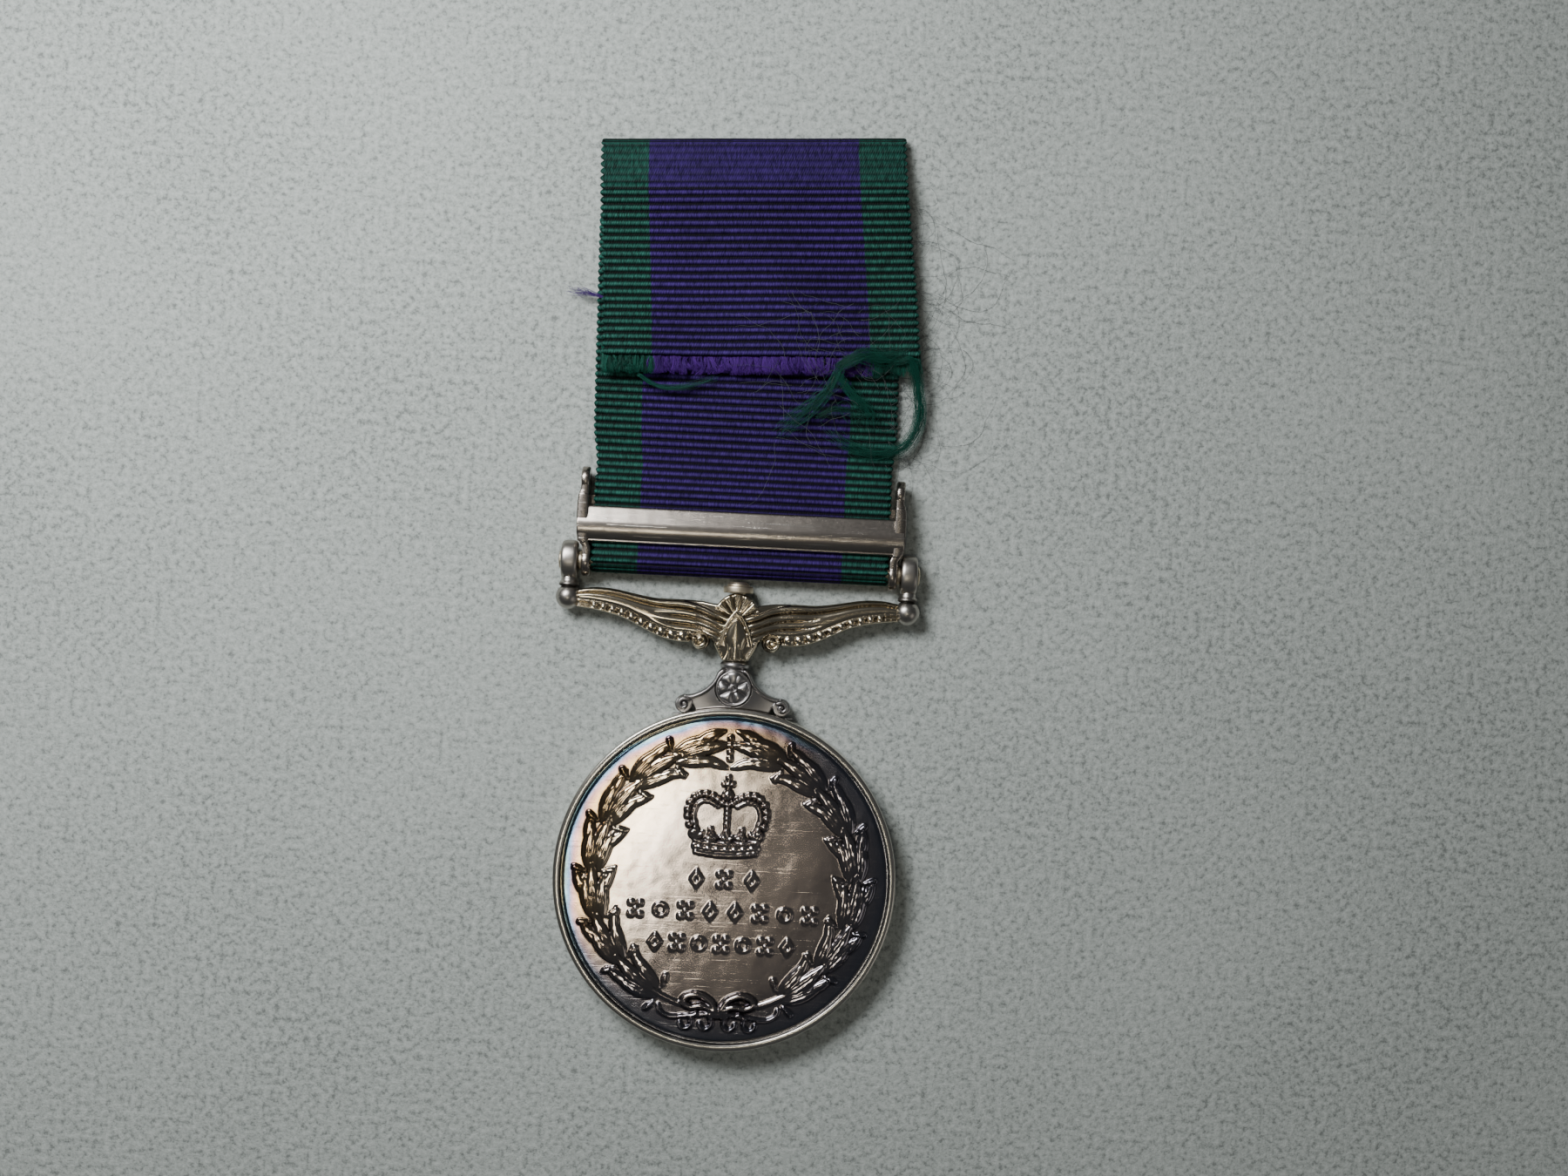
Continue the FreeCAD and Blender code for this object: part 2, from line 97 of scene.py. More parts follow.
# ---- node graphs ----
class Graph:
    """A material's node tree, built by chaining calls.

    An input is a value or another node's output socket.
    """

    def __init__(self, name):
        self.material = bpy.data.materials.new(name)
        self.material.use_nodes = True
        self.tree = self.material.node_tree
        self.shader = self.tree.nodes["Principled BSDF"]

    def node(self, kind, inputs=(), **settings):
        made = self.tree.nodes.new("ShaderNode" + kind)
        for key, value in settings.items():
            setattr(made, key, value)
        self.feed(made, inputs)
        return made

    def feed(self, made, inputs):
        for key, value in dict(inputs).items():
            if isinstance(value, bpy.types.NodeSocket):
                self.tree.links.new(value, made.inputs[key])
            else:
                made.inputs[key].default_value = value

    def math(self, operation, *values):
        return self.node("Math", enumerate(values), operation=operation).outputs[0]

    def span(self, value, low, high, new_low=0.0, new_high=1.0):
        inputs = {0: value, 1: low, 2: high, 3: new_low, 4: new_high}
        return self.node("MapRange", inputs, clamp=True).outputs[0]

    def mix(self, amount, one, other, blend="MIX"):
        made = self.node("Mix", data_type="RGBA", blend_type=blend)
        self.feed(made, {0: amount, 6: one, 7: other})
        return made.outputs[2]

    def ramp(self, value, *stops):
        made = self.node("ValToRGB", {0: value})
        line = made.color_ramp.elements
        while len(line) < len(stops):
            line.new(0.5)
        for element, (place, colour) in zip(line, stops):
            element.position = place
            element.color = rgba(colour)
        return made.outputs[0]

    def place(self):
        """Object coordinates in millimetres."""
        spot = self.node("TexCoord").outputs["Object"]
        return self.node("VectorMath", {0: spot, 3: 1 / MM}, operation="SCALE").outputs[0]

    def noise(self, where, scale, detail=3.0, rough=0.5):
        inputs = {"Vector": where, "Scale": scale, "Detail": detail, "Roughness": rough}
        return self.node("TexNoise", inputs).outputs[0]

    def stretched(self, where, turn, factors):
        """Coordinates turned about Z and then scaled, for streaks and scratches."""
        made = self.node("Mapping", {0: where, 2: (0, 0, math.radians(turn)), 3: factors})
        return made.outputs[0]

    def attribute(self, name):
        return self.node("Attribute", attribute_name=name).outputs["Fac"]

    def bump(self, height, distance, strength=1.0, normal=None):
        inputs = {"Height": height, "Distance": distance * MM, "Strength": strength}
        if normal is not None:
            inputs["Normal"] = normal
        return self.node("Bump", inputs).outputs[0]

    def finish(self, **inputs):
        names = {key.replace("_", " "): value for key, value in inputs.items()}
        self.feed(self.shader, names)
        return self.material


def rgba(colour):
    return (*colour, 1.0) if len(colour) == 3 else colour


# ---- materials ----
def scratches(g, where):
    """Fine hairlines in three directions, 0 to 1."""
    lines = None
    for turn, across in ((24, 5.0), (-38, 7.0), (81, 6.0)):
        streak = g.noise(g.stretched(where, turn, (0.12, across, 1.0)), 1.0, 2.0, 0.7)
        line = g.span(streak, 0.66, 0.72)
        lines = line if lines is None else g.math("MAXIMUM", lines, line)
    return lines


def silver(name, clean, tarnish, rough, blotch, scratch=0.5, toning=None):
    """Old silver: tarnish gathers in the recesses and in blotches, and high points are rubbed clean."""
    g = Graph(name)
    where = g.place()
    cloud = g.noise(where, 0.22, 4.0, 0.6)
    grain = g.noise(where, 3.5, 3.0, 0.6)
    recess = g.attribute("recess")
    dirt = g.math("ADD", g.span(recess, 0.10, 0.70, 0.0, 0.90), g.span(cloud, 0.4, 0.7, 0.0, blotch))
    dirt = g.math("ADD", dirt, g.span(grain, 0.5, 0.8, 0.0, 0.06))
    base = rgba(clean) if toning is None else toning(g, where, clean)
    colour = g.mix(g.span(dirt, 0.0, 1.0), base, rgba(tarnish))
    lines = scratches(g, where)
    colour = g.mix(g.math("MULTIPLY", lines, 0.25 * scratch), colour, rgba((0.85, 0.82, 0.76)))
    shine = g.math("ADD", g.span(grain, 0.3, 0.7, rough * 0.92, rough * 1.08), g.span(dirt, 0, 1, 0, 0.12))
    micro = g.noise(where, 6.0, 2.0, 0.6)
    height = g.math("SUBTRACT", micro, g.math("MULTIPLY", lines, 1.6 * scratch))
    waves = g.bump(g.noise(where, 0.24, 2.0, 0.5), 0.05)
    normal = g.bump(height, 0.0014, 1.0, waves)
    return g.finish(Base_Color=colour, Metallic=1.0, Roughness=shine, Normal=normal)


def disc_toning(g, where, clean):
    """Rings of tarnish near the rim: straw, then purple, then blue. The upper left takes a lighter, stronger
    copy of the rings as painted light, and the rest a greyer copy as painted shade.
    """
    flat = g.node("VectorMath", {0: where, 1: (1, 1, 0)}, operation="MULTIPLY").outputs[0]
    radius = g.node("VectorMath", {0: flat}, operation="LENGTH").outputs["Value"]
    drift = g.math("MULTIPLY_ADD", g.noise(where, 0.16, 2.0), 2.6, -1.3)
    ring = g.math("ADD", g.span(radius, 8.0, 18.0), g.math("MULTIPLY", drift, 0.06))
    painted_lit_toning = g.ramp(
        ring,
        (0.0, clean),
        (0.45, (0.68, 0.56, 0.42)),
        (0.76, (0.42, 0.27, 0.13)),
        (0.82, (0.30, 0.18, 0.20)),
        (0.86, (0.11, 0.18, 0.32)),
        (0.90, (0.17, 0.30, 0.36)),
        (0.925, (0.42, 0.38, 0.27)),
    )
    painted_shaded_toning = g.ramp(
        ring,
        (0.0, clean),
        (0.45, (0.44, 0.38, 0.36)),
        (0.70, (0.27, 0.25, 0.28)),
        (0.88, (0.19, 0.20, 0.25)),
        (0.97, (0.36, 0.34, 0.32)),
    )
    # painted light: the upper-left side takes the lighter ring colours and the rest the greyer ones
    side = g.node("VectorMath", {0: flat, 1: (-0.04, 0.035, 0)}, operation="DOT_PRODUCT").outputs["Value"]
    painted_light_side = g.span(g.math("ADD", side, g.math("MULTIPLY", drift, 0.2)), 0.0, 0.55)
    return g.mix(painted_light_side, painted_shaded_toning, painted_lit_toning)


def ribbon_silk():
    """Corded silk: purple with green edges, each rib crossed by fine warp threads; the shade in the grooves
    between the ribs and the light on their crests are painted into the colour.
    """
    g = Graph("ribbon_silk")
    weave = g.node("UVMap", uv_map="weave").outputs[0]
    split = g.node("SeparateXYZ", {0: weave})
    across, along = split.outputs[0], split.outputs[1]
    wobble = g.noise(g.stretched(weave, 0, (0.6, 1.4, 1)), 1.0, 2.0)
    edge = g.math("ADD", g.math("ABSOLUTE", across), g.math("MULTIPLY_ADD", wobble, 0.24, -0.12))
    green = g.span(edge, 11.0, 11.12)
    thread = g.noise(g.stretched(weave, 12, (5.0, 0.9, 1)), 1.0, 3.0, 0.7)
    fade = g.noise(g.stretched(weave, 0, (0.12, 0.12, 1)), 1.0, 3.0)
    purple = g.ramp(thread, (0.36, (0.014, 0.005, 0.060)), (0.64, (0.064, 0.027, 0.205)))
    leaf = g.ramp(thread, (0.36, (0.004, 0.032, 0.025)), (0.64, (0.024, 0.140, 0.105)))
    colour = g.mix(green, purple, leaf)
    # painted light: the rib attribute darkens the colour almost to black in the grooves (painted shade) and
    # leaves it full on the crests (painted highlight)
    crest = g.math("POWER", g.attribute("rib"), 3.6)
    painted_rib_shade = g.math("MULTIPLY", g.span(crest, 0.0, 1.0, 0.04, 1.0), g.span(fade, 0.3, 0.7, 0.80, 1.15))
    painted_shade_grey = g.node("CombineColor", {0: painted_rib_shade, 1: painted_rib_shade, 2: painted_rib_shade}).outputs[0]
    colour = g.mix(1.0, colour, painted_shade_grey, "MULTIPLY")
    slant = g.math("MULTIPLY_ADD", along, 0.45, across)
    wave = g.math("SINE", g.math("MULTIPLY", slant, 2 * math.pi / 0.25))
    strands = g.math("ADD", g.math("MULTIPLY", wave, 0.5), thread)
    fuzz = g.noise(g.stretched(weave, 0, (5, 5, 1)), 1.0, 4.0, 0.7)
    normal = g.bump(g.math("ADD", strands, fuzz), 0.030)
    g.shader.inputs["Specular IOR Level"].default_value = 0.12
    return g.finish(Base_Color=colour, Roughness=0.5, Normal=normal)


def loose_silk(name, dark, light):
    """Loose fibres, each a little different."""
    g = Graph(name)
    colour = g.ramp(g.attribute("tone"), (0.0, dark), (1.0, light))
    g.shader.inputs["Specular IOR Level"].default_value = 0.25
    return g.finish(Base_Color=colour, Roughness=0.5)


def floor_paper():
    """Pale grey-green paper, mottled and speckled."""
    g = Graph("floor_paper")
    where = g.place()
    cloud = g.noise(where, 0.03, 4.0)
    grain = g.noise(where, 1.5, 5.0, 0.75)
    tone = g.math("ADD", g.math("MULTIPLY", cloud, 0.12), g.math("MULTIPLY", grain, 0.88))
    colour = g.ramp(
        tone,
        (0.38, (0.24, 0.26, 0.245)),
        (0.48, (0.45, 0.485, 0.455)),
        (0.62, (0.60, 0.635, 0.60)),
    )
    return g.finish(Base_Color=colour, Roughness=0.9, Normal=g.bump(grain, 0.15))


MATERIALS = {
    "disc": silver("disc_silver", (0.55, 0.47, 0.43), (0.030, 0.025, 0.030), 0.12, 0.18, 0.4, disc_toning),
    "rim": silver("rim_silver", (0.66, 0.62, 0.55), (0.07, 0.06, 0.05), 0.22, 0.10, 0.6),
    "claw": silver("claw_silver", (0.40, 0.38, 0.37), (0.030, 0.027, 0.030), 0.32, 0.12, 0.4),
    "ends": silver("end_silver", (0.44, 0.41, 0.37), (0.035, 0.030, 0.026), 0.33, 0.14, 0.5),
    "suspender": silver("suspender_silver", (0.66, 0.57, 0.42), (0.040, 0.030, 0.018), 0.16, 0.10, 0.4),
    "clasp": silver("clasp_silver", (0.44, 0.39, 0.34), (0.080, 0.062, 0.050), 0.24, 0.12, 2.0),
    "rivet": silver("rivet_silver", (0.70, 0.61, 0.46), (0.070, 0.055, 0.040), 0.42, 0.12, 0.5),
    "silk": ribbon_silk(),
    "violet": loose_silk("violet_fibre", (0.020, 0.004, 0.080), (0.120, 0.026, 0.310)),
    "green": loose_silk("green_fibre", (0.002, 0.022, 0.015), (0.010, 0.125, 0.085)),
    "hair": loose_silk("stray_fibre", (0.05, 0.06, 0.06), (0.12, 0.13, 0.13)),
    "paper": floor_paper(),
}


def make_floor_and_lights():
    bpy.ops.mesh.primitive_plane_add(size=FLOOR_SIZE)
    floor = bpy.context.object
    floor.name = "floor"
    floor.location.z = FLOOR_Z * MM
    floor.data.materials.append(MATERIALS["paper"])
    world = bpy.data.worlds.new("studio")
    world.use_nodes = True
    sky = world.node_tree.nodes["Background"]
    sky.inputs["Color"].default_value = SKY_TINT
    sky.inputs["Strength"].default_value = SKY_STRENGTH
    bpy.context.scene.world = world
    lights = (  # name, place and size in metres, power in watts, tint
        ("window", (-0.085, 0.12, 0.14), (0.09, 0.07), 0.42, (0.96, 0.98, 1.0)),
        ("ceiling", (-0.060, -0.070, 0.60), (0.040, 0.105), 0.19, (1.0, 0.93, 0.76)),
        ("fill", (0.62, -0.30, 0.50), (0.40, 0.40), 0.3, (1.0, 0.96, 0.90)),
    )
    for name, spot, size, power, tint in lights:
        data = bpy.data.lights.new(name, "AREA")
        data.shape = "RECTANGLE"
        data.size, data.size_y = size
        data.energy = power
        data.color = tint
        lamp = bpy.data.objects.new(name, data)
        lamp.location = spot
        aim = Vector(LIGHT_AIM) - lamp.location
        lamp.rotation_euler = aim.to_track_quat("-Z", "Y").to_euler()
        bpy.context.scene.collection.objects.link(lamp)


def make_piece(name, points, faces, material, body, node=None, **values):
    """An object from an (n, 3) array of points in mm and arrays of faces; values are stored per point.

    The piece takes the place of the CAD's node, where one is named.
    """
    points = np.asarray(points, dtype=np.float64)
    mesh = bpy.data.meshes.new(name)
    mesh.vertices.add(len(points))
    mesh.vertices.foreach_set("co", (points * MM).astype(np.float32).ravel())
    faces = [np.asarray(block) for block in faces if len(block)]
    corners = np.concatenate([block.ravel() for block in faces])
    totals = np.concatenate([np.full(len(block), block.shape[1]) for block in faces])
    mesh.loops.add(len(corners))
    mesh.loops.foreach_set("vertex_index", corners.astype(np.int32))
    mesh.polygons.add(len(totals))
    mesh.polygons.foreach_set("loop_start", (np.cumsum(totals) - totals).astype(np.int32))
    mesh.polygons.foreach_set("loop_total", totals.astype(np.int32))
    mesh.update(calc_edges=True)
    mesh.validate()
    mesh.polygons.foreach_set("use_smooth", np.ones(len(mesh.polygons), dtype=bool))
    for key, value in values.items():
        layer = mesh.attributes.new(key, "FLOAT", "POINT")
        layer.data.foreach_set("value", np.asarray(value, dtype=np.float32).ravel())
    mesh.materials.append(MATERIALS[material])
    piece = bpy.data.objects.new(name, mesh)
    bpy.context.scene.collection.objects.link(piece)
    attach(piece, body)
    if node:
        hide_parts(node)
    return piece


def ring_quads(rows, around):
    """Quads between rows of points, where each row is a closed ring."""
    i, j = (a.ravel() for a in np.meshgrid(np.arange(rows - 1), np.arange(around), indexing="ij"))
    after = (j + 1) % around
    corners = (i * around + j, i * around + after, (i + 1) * around + after, (i + 1) * around + j)
    return np.stack(corners, 1)


def end_caps(rows, around):
    """The polygons that close the first and the last ring."""
    ring = np.arange(around)
    return [ring[::-1][None], (rows - 1) * around + ring[None]]


def blurred(values, reach):
    """A box blur by whole cells, twice."""
    for _ in range(2):
        for axis in (0, 1):
            total = np.zeros_like(values)
            for step in range(-reach, reach + 1):
                total += np.roll(values, step, axis)
            values = total / (2 * reach + 1)
    return values


def recess_of(height, cell, reach=0.35, gain=4.0):
    """How far each point of a height field lies below its surroundings, 0 to 1."""
    return np.clip((blurred(height, max(1, round(reach / cell))) - height) * gain, 0, 1)


def plate(inside, top, bottom, span, cell, gain=4.0, flat=None):
    """A closed plate: its outline is where inside() changes sign, and its faces are height fields.

    top() and bottom() take x, y and the distance in from the edge, and give z. The face named
    by flat is level, and is closed by a fan of triangles round the origin.
    """
    x_low, x_high, y_low, y_high = span
    columns = np.arange(x_low, x_high + cell, cell)
    rows = np.arange(y_low, y_high + cell, cell)
    x, y = np.meshgrid(columns, rows, indexing="ij")
    far = inside(x, y)
    near = far < 0.3 * cell
    kept = near[:-1, :-1] & near[1:, :-1] & near[1:, 1:] & near[:-1, 1:]
    padded = np.pad(kept, 1)
    corners = np.stack([padded[:-1, :-1], padded[1:, :-1], padded[1:, 1:], padded[:-1, 1:]])
    used = corners.any(0)
    border = used & ~corners.all(0)
    slope_x, slope_y = np.gradient(far, cell)
    length = np.hypot(slope_x, slope_y) + 1e-9
    shift = np.where(border, far / length, 0.0)
    shift = np.clip(shift, -1.5 * cell, 1.5 * cell)
    x = x - shift * slope_x / length
    y = y - shift * slope_y / length
    depth = np.where(border, 0.0, np.maximum(-far, 0.0))
    high, low = top(x, y, depth), bottom(x, y, depth)
    index = np.full(x.shape, -1)
    index[used] = np.arange(used.sum())
    count = int(used.sum())
    i, j = np.nonzero(kept)
    cells = np.stack([index[i, j], index[i + 1, j], index[i + 1, j + 1], index[i, j + 1]], 1)
    walls = []
    sides = (  # a cell's side from one corner to the next, and the neighbour beyond it
        ((0, 0), (1, 0), (0, -1)),
        ((1, 0), (1, 1), (1, 0)),
        ((1, 1), (0, 1), (0, 1)),
        ((0, 1), (0, 0), (-1, 0)),
    )
    for first, second, beyond in sides:
        open_side = ~padded[i + 1 + beyond[0], j + 1 + beyond[1]]
        a = index[i + first[0], j + first[1]][open_side]
        b = index[i + second[0], j + second[1]][open_side]
        walls.append(np.stack([b, a, a + count, b + count], 1))
    points = np.concatenate([np.stack([x[used], y[used], z[used]], 1) for z in (high, low)])
    recess = np.concatenate([recess_of(high, cell, gain=gain)[used], recess_of(-low, cell, gain=gain)[used]])
    if flat is None:
        return points, [cells, cells[:, ::-1] + count, *walls], recess
    rim = np.concatenate(walls)[:, 2:] if flat == "bottom" else np.concatenate(walls)[:, :2]
    centre = np.full(len(rim), len(points))
    fan = np.stack([rim[:, 1], rim[:, 0], centre], 1)
    level = (0.0, 0.0, points[rim[0, 0], 2])
    shaped = cells if flat == "bottom" else cells[:, ::-1] + count
    return compact(np.vstack([points, level]), [shaped, *walls, fan], np.append(recess, 0.0))


def compact(points, faces, values):
    """Drops the points that no face uses."""
    used = np.unique(np.concatenate([block.ravel() for block in faces]))
    index = np.zeros(len(points), dtype=int)
    index[used] = np.arange(len(used))
    return points[used], [index[block] for block in faces], values[used]


def lathe(profile, start, axis, segments=64):
    """Points and faces of a closed turning; profile is (radius, place on the axis) from pole to pole."""
    profile = np.asarray(profile, dtype=float)
    turn = np.linspace(0, 2 * math.pi, segments, endpoint=False)
    radius, along = profile[:, :1], profile[:, 1:]
    ones = np.ones((1, segments))
    parts = {"x": (along * ones, radius * np.cos(turn), radius * np.sin(turn)),
             "y": (radius * np.sin(turn), along * ones, radius * np.cos(turn)),
             "z": (radius * np.cos(turn), radius * np.sin(turn), along * ones)}
    points = np.stack([part.ravel() for part in parts[axis]], 1) + np.asarray(start)
    rows = len(profile)
    return points, [ring_quads(rows, segments), *end_caps(rows, segments)]


def turned(*profile):
    """Adds small rounds at each corner of a turning's profile."""
    made = []
    line = [np.asarray(p, dtype=float) for p in profile]
    for k, here in enumerate(line):
        if k in (0, len(line) - 1):
            made.append(here)
            continue
        for other in (line[k - 1], line[k + 1]):
            gap = other - here
            reach = min(0.08, np.linalg.norm(gap) * 0.3)
            made.append(here + gap / np.linalg.norm(gap) * reach)
        made.insert(-1, (made[-2] + made[-1]) / 2 * 0.6 + here * 0.4)
    return made


def joined(*parts):
    """Several point and face sets as one."""
    points, faces, offset = [], [], 0
    for part_points, part_faces in parts:
        points.append(part_points)
        faces += [np.asarray(block) + offset for block in part_faces if len(block)]
        offset += len(part_points)
    return np.concatenate(points), faces


def mirrored(points, faces):
    return points * (-1, 1, 1), [block[:, ::-1] for block in faces]


# ---- plan geometry ----
def smooth_line(points, steps=8):
    """A Catmull-Rom curve through points."""
    p = np.asarray(points, dtype=float)
    p = np.vstack([2 * p[0] - p[1], p, 2 * p[-1] - p[-2]])
    t = np.linspace(0, 1, steps, endpoint=False)[:, None]
    made = []
    for a, b, c, d in zip(p, p[1:], p[2:], p[3:]):
        square = (2 * a - 5 * b + 4 * c - d) * t**2
        cube = (3 * b - a - 3 * c + d) * t**3
        made.append(0.5 * (2 * b + (c - a) * t + square + cube))
    return np.vstack([*made, p[-2]])


def line_distance(points, x, y):
    """Distance to an open line, and how far along it the nearest point is, 0 to 1."""
    best = np.full(x.shape, 1e9)
    along = np.zeros(x.shape)
    lengths = [math.dist(a, b) for a, b in zip(points, points[1:])]
    total, done = sum(lengths), 0.0
    for (ax, ay), (bx, by), length in zip(points, points[1:], lengths):
        if length < 1e-9:
            continue
        t = np.clip(((x - ax) * (bx - ax) + (y - ay) * (by - ay)) / length**2, 0, 1)
        gap = np.hypot(x - ax - t * (bx - ax), y - ay - t * (by - ay))
        nearer = gap < best
        best = np.where(nearer, gap, best)
        along = np.where(nearer, (done + t * length) / total, along)
        done += length
    return best, along


def polygon_distance(points, x, y):
    """Distance to a closed outline, negative inside."""
    ring = np.vstack([points, points[:1]])
    gap, _ = line_distance(ring, x, y)
    odd = np.zeros(x.shape, dtype=bool)
    for (ax, ay), (bx, by) in zip(ring, ring[1:]):
        if ay == by:
            continue
        crosses = ((ay > y) != (by > y)) & (x < (bx - ax) * (y - ay) / (by - ay) + ax)
        odd ^= crosses
    return np.where(odd, -gap, gap)


def dome(distance, radius):
    """A round cross-section, 1 on the line and 0 at the radius."""
    return np.sqrt(np.clip(1 - (distance / radius) ** 2, 0, 1))


def edge_round(depth, radius):
    """How much an edge of that radius has dropped, as a fraction of the radius."""
    return 1 - np.sqrt(np.clip(1 - (1 - np.minimum(depth / radius, 1)) ** 2, 0, 1))


# ---- relief on the disc ----
class Relief:
    """A height field over the disc's face that shapes are raised on."""

    def __init__(self, x, y):
        self.x, self.y = x, y
        self.height = np.zeros(x.shape)

    def raise_to(self, values):
        self.height = np.maximum(self.height, values)

    def local(self, x, y, angle):
        c, s = math.cos(angle), math.sin(angle)
        return (self.x - x) * c + (self.y - y) * s, -(self.x - x) * s + (self.y - y) * c

    def bead(self, x, y, radius, height):
        self.raise_to(height * dome(np.hypot(self.x - x, self.y - y), radius))

    def cord(self, points, radius, height, taper=0.0):
        gap, along = line_distance(points, self.x, self.y)
        self.raise_to(height * dome(gap, radius * (1 - taper * along)))

    def leaf(self, x, y, angle, length, width, height, lift=0.0, bend=0.0, groove=0.30):
        """A pointed leaf with two rounded faces, a grooved midrib and faint folds; bend bows it sideways."""
        u, v = self.local(x, y, angle)
        t = np.clip(u / length, 0, 1)
        v = v - bend * length * (t - t**2)
        half = width / 2 * np.sin(math.pi * t**0.85) ** 0.8
        within = (u > 0) & (u < length) & (np.abs(v) < half)
        across = np.clip(np.abs(v) / (half + 1e-6), 0, 1)
        body = (1 - across**1.9) ** 0.65 * np.sin(math.pi * np.clip(t, 0.02, 0.98)) ** 0.35
        folds = 0.05 * np.cos(2 * math.pi * (u - 0.9 * np.abs(v)) / 1.1) * (across > 0.25)
        midrib = groove * np.exp(-((v / 0.13) ** 2)) * (1 - 0.7 * t)
        shape = lift * (0.3 + 0.7 * t) + height * body * (0.95 + folds - midrib)
        self.raise_to(np.where(within, shape, 0.0))


def wreath(relief):
    """Two branches of long leaves, three abreast, that rise from a bow and meet at the top."""
    pitch = math.radians(21.2)
    first = math.radians(173.6)
    leaves = (  # how far ahead of its foot, radius there, swing outwards, length, width, lift
        (0.48, 14.55, 0.16, 3.6, 1.00, 0.02),
        (0.48, 12.95, -0.56, 3.4, 0.95, 0.02),
        (0.00, 14.22, -0.02, 5.0, 1.30, 0.07),
        (0.00, 13.25, -0.37, 4.8, 1.25, 0.07),
        (0.08, 13.75, -0.19, 5.7, 1.45, 0.12),
    )
    for side in (1, -1):
        def spot(phi, radius):
            return side * radius * math.sin(phi), radius * math.cos(phi)

        def heading(phi, outwards):
            """The angle of a line that climbs the branch, swung outwards."""
            return (math.pi - phi if side > 0 else phi) - side * outwards

        stem = [spot(math.radians(a), WREATH_RADIUS) for a in range(168, 6, -4)]
        relief.cord(stem, 0.26, 0.16)
        for k in range(1, 8):
            foot = first - pitch * k
            for ahead, radius, outwards, length, width, lift in leaves:
                start = foot - pitch * ahead
                sway = 0.06 * math.sin(5 * k + 9 * radius)
                place, turn = spot(start, radius), heading(start, outwards + sway)
                relief.leaf(*place, turn, length, width, 0.29, lift, -0.19 * side)
            for near, far in ((14.75, 15.75), (12.75, 11.75)):
                relief.cord([spot(foot, near), spot(foot - 0.02, far)], 0.15, 0.24)
                relief.cord([spot(foot - 0.01, 0.5 * (near + far)), spot(foot - 0.02, far)], 0.26, 0.32)
    for k in range(4):
        relief.bead(0, 12.7 + 0.72 * k, 0.30, 0.32)


def bow(relief):
    """The ribbon bow that ties the branches at the foot: two open loops, a wrapped knot and curled ends."""
    for side in (1, -1):
        loop = ((0.3, -13.7), (0.9, -12.75), (2.1, -12.15), (3.3, -12.35),
                (3.7, -12.95), (2.9, -13.45), (1.6, -13.3), (0.4, -13.8))
        relief.cord(smooth_line([(side * x, y) for x, y in loop]), 0.34, 0.40)
        trail = ((0.8, -14.1), (3.0, -14.35), (4.9, -14.55), (6.0, -14.1), (6.3, -13.4))
        relief.cord(smooth_line([(side * x, y) for x, y in trail]), 0.24, 0.28, 0.3)
        for start, x in ((0.6, 1.25), (2.2, 3.35)):
            turn = np.linspace(math.pi * 0.75, math.pi * 1.95, 12)
            curl = [(side * (x + 0.62 * math.cos(a)), -15.0 + 0.72 * math.sin(a)) for a in turn]
            relief.cord([(side * start, -14.1), *curl], 0.22, 0.32, 0.2)
    relief.raise_to(0.26 * dome(np.maximum(np.abs(relief.x) - 0.5, 0), 0.55) * dome(relief.y + 13.95, 0.62))
    for k in range(-3, 4):
        relief.cord([(k * 0.30 - 0.12, -13.45), (k * 0.30 + 0.12, -14.45)], 0.14, 0.40 - 0.01 * k * k)


def coronet(relief):
    """A generic crown: a jewelled band, five points, two beaded arches and a ball."""
    def band(x):
        return 2.55 + 0.030 * x * x

    for rise, radius, height in ((0.0, 0.20, 0.32), (1.18, 0.20, 0.32), (0.59, 0.38, 0.16)):
        half = 3.15 + rise * 0.1
        line = [(px, band(px) + rise) for px in np.linspace(-half, half, 13)]
        relief.cord(line, radius, height)
    for k in range(-3, 4):
        u, v = relief.local(k * 0.92, band(k * 0.92) + 0.59, 0)
        relief.raise_to(0.34 * np.clip(1.25 - np.abs(u) / 0.34 - np.abs(v) / 0.26, 0, 1))
    for k in range(-2, 3):
        px, foot = k * 1.5, band(k * 1.5) + 1.3
        tall = 1.6 if k % 2 == 0 else 1.2
        lean = k * 0.12
        for turn, length, width in ((0, tall, 0.70), (0.85, tall * 0.66, 0.44), (-0.85, tall * 0.66, 0.44)):
            relief.leaf(px, foot + 0.1, math.pi / 2 - lean + turn, length, width, 0.28, 0.10, groove=0)
        relief.bead(px + tall * math.sin(lean), foot + tall * 1.12, 0.24, 0.38)
    for side in (1, -1):
        outer = ((3.15, 4.3), (3.85, 5.5), (4.15, 6.9), (3.85, 8.1),
                 (2.9, 8.85), (1.8, 8.8), (0.8, 8.25), (0.15, 7.7))
        inner = ((2.75, 4.5), (3.3, 5.6), (3.5, 6.8), (3.2, 7.75), (2.6, 8.2), (1.8, 8.15), (1.0, 7.7))
        arch = smooth_line([(side * x, y) for x, y in outer])
        relief.cord(smooth_line([(side * x, y) for x, y in inner]), 0.16, 0.24)
        for k in range(1, 12):
            px, py = arch[k * (len(arch) - 1) // 12]
            relief.bead(px, py, 0.33, 0.41)
    for k in range(5):
        relief.bead(0, 5.9 + k * 0.50, 0.26, 0.38)
    relief.bead(0, 8.85, 0.55, 0.42)
    relief.cord([(0, 9.3), (0, 10.7)], 0.16, 0.36)
    relief.cord([(-0.42, 10.05), (0.42, 10.05)], 0.16, 0.36)
    for px, py in ((0, 10.75), (-0.45, 10.05), (0.45, 10.05)):
        relief.bead(px, py, 0.25, 0.38)


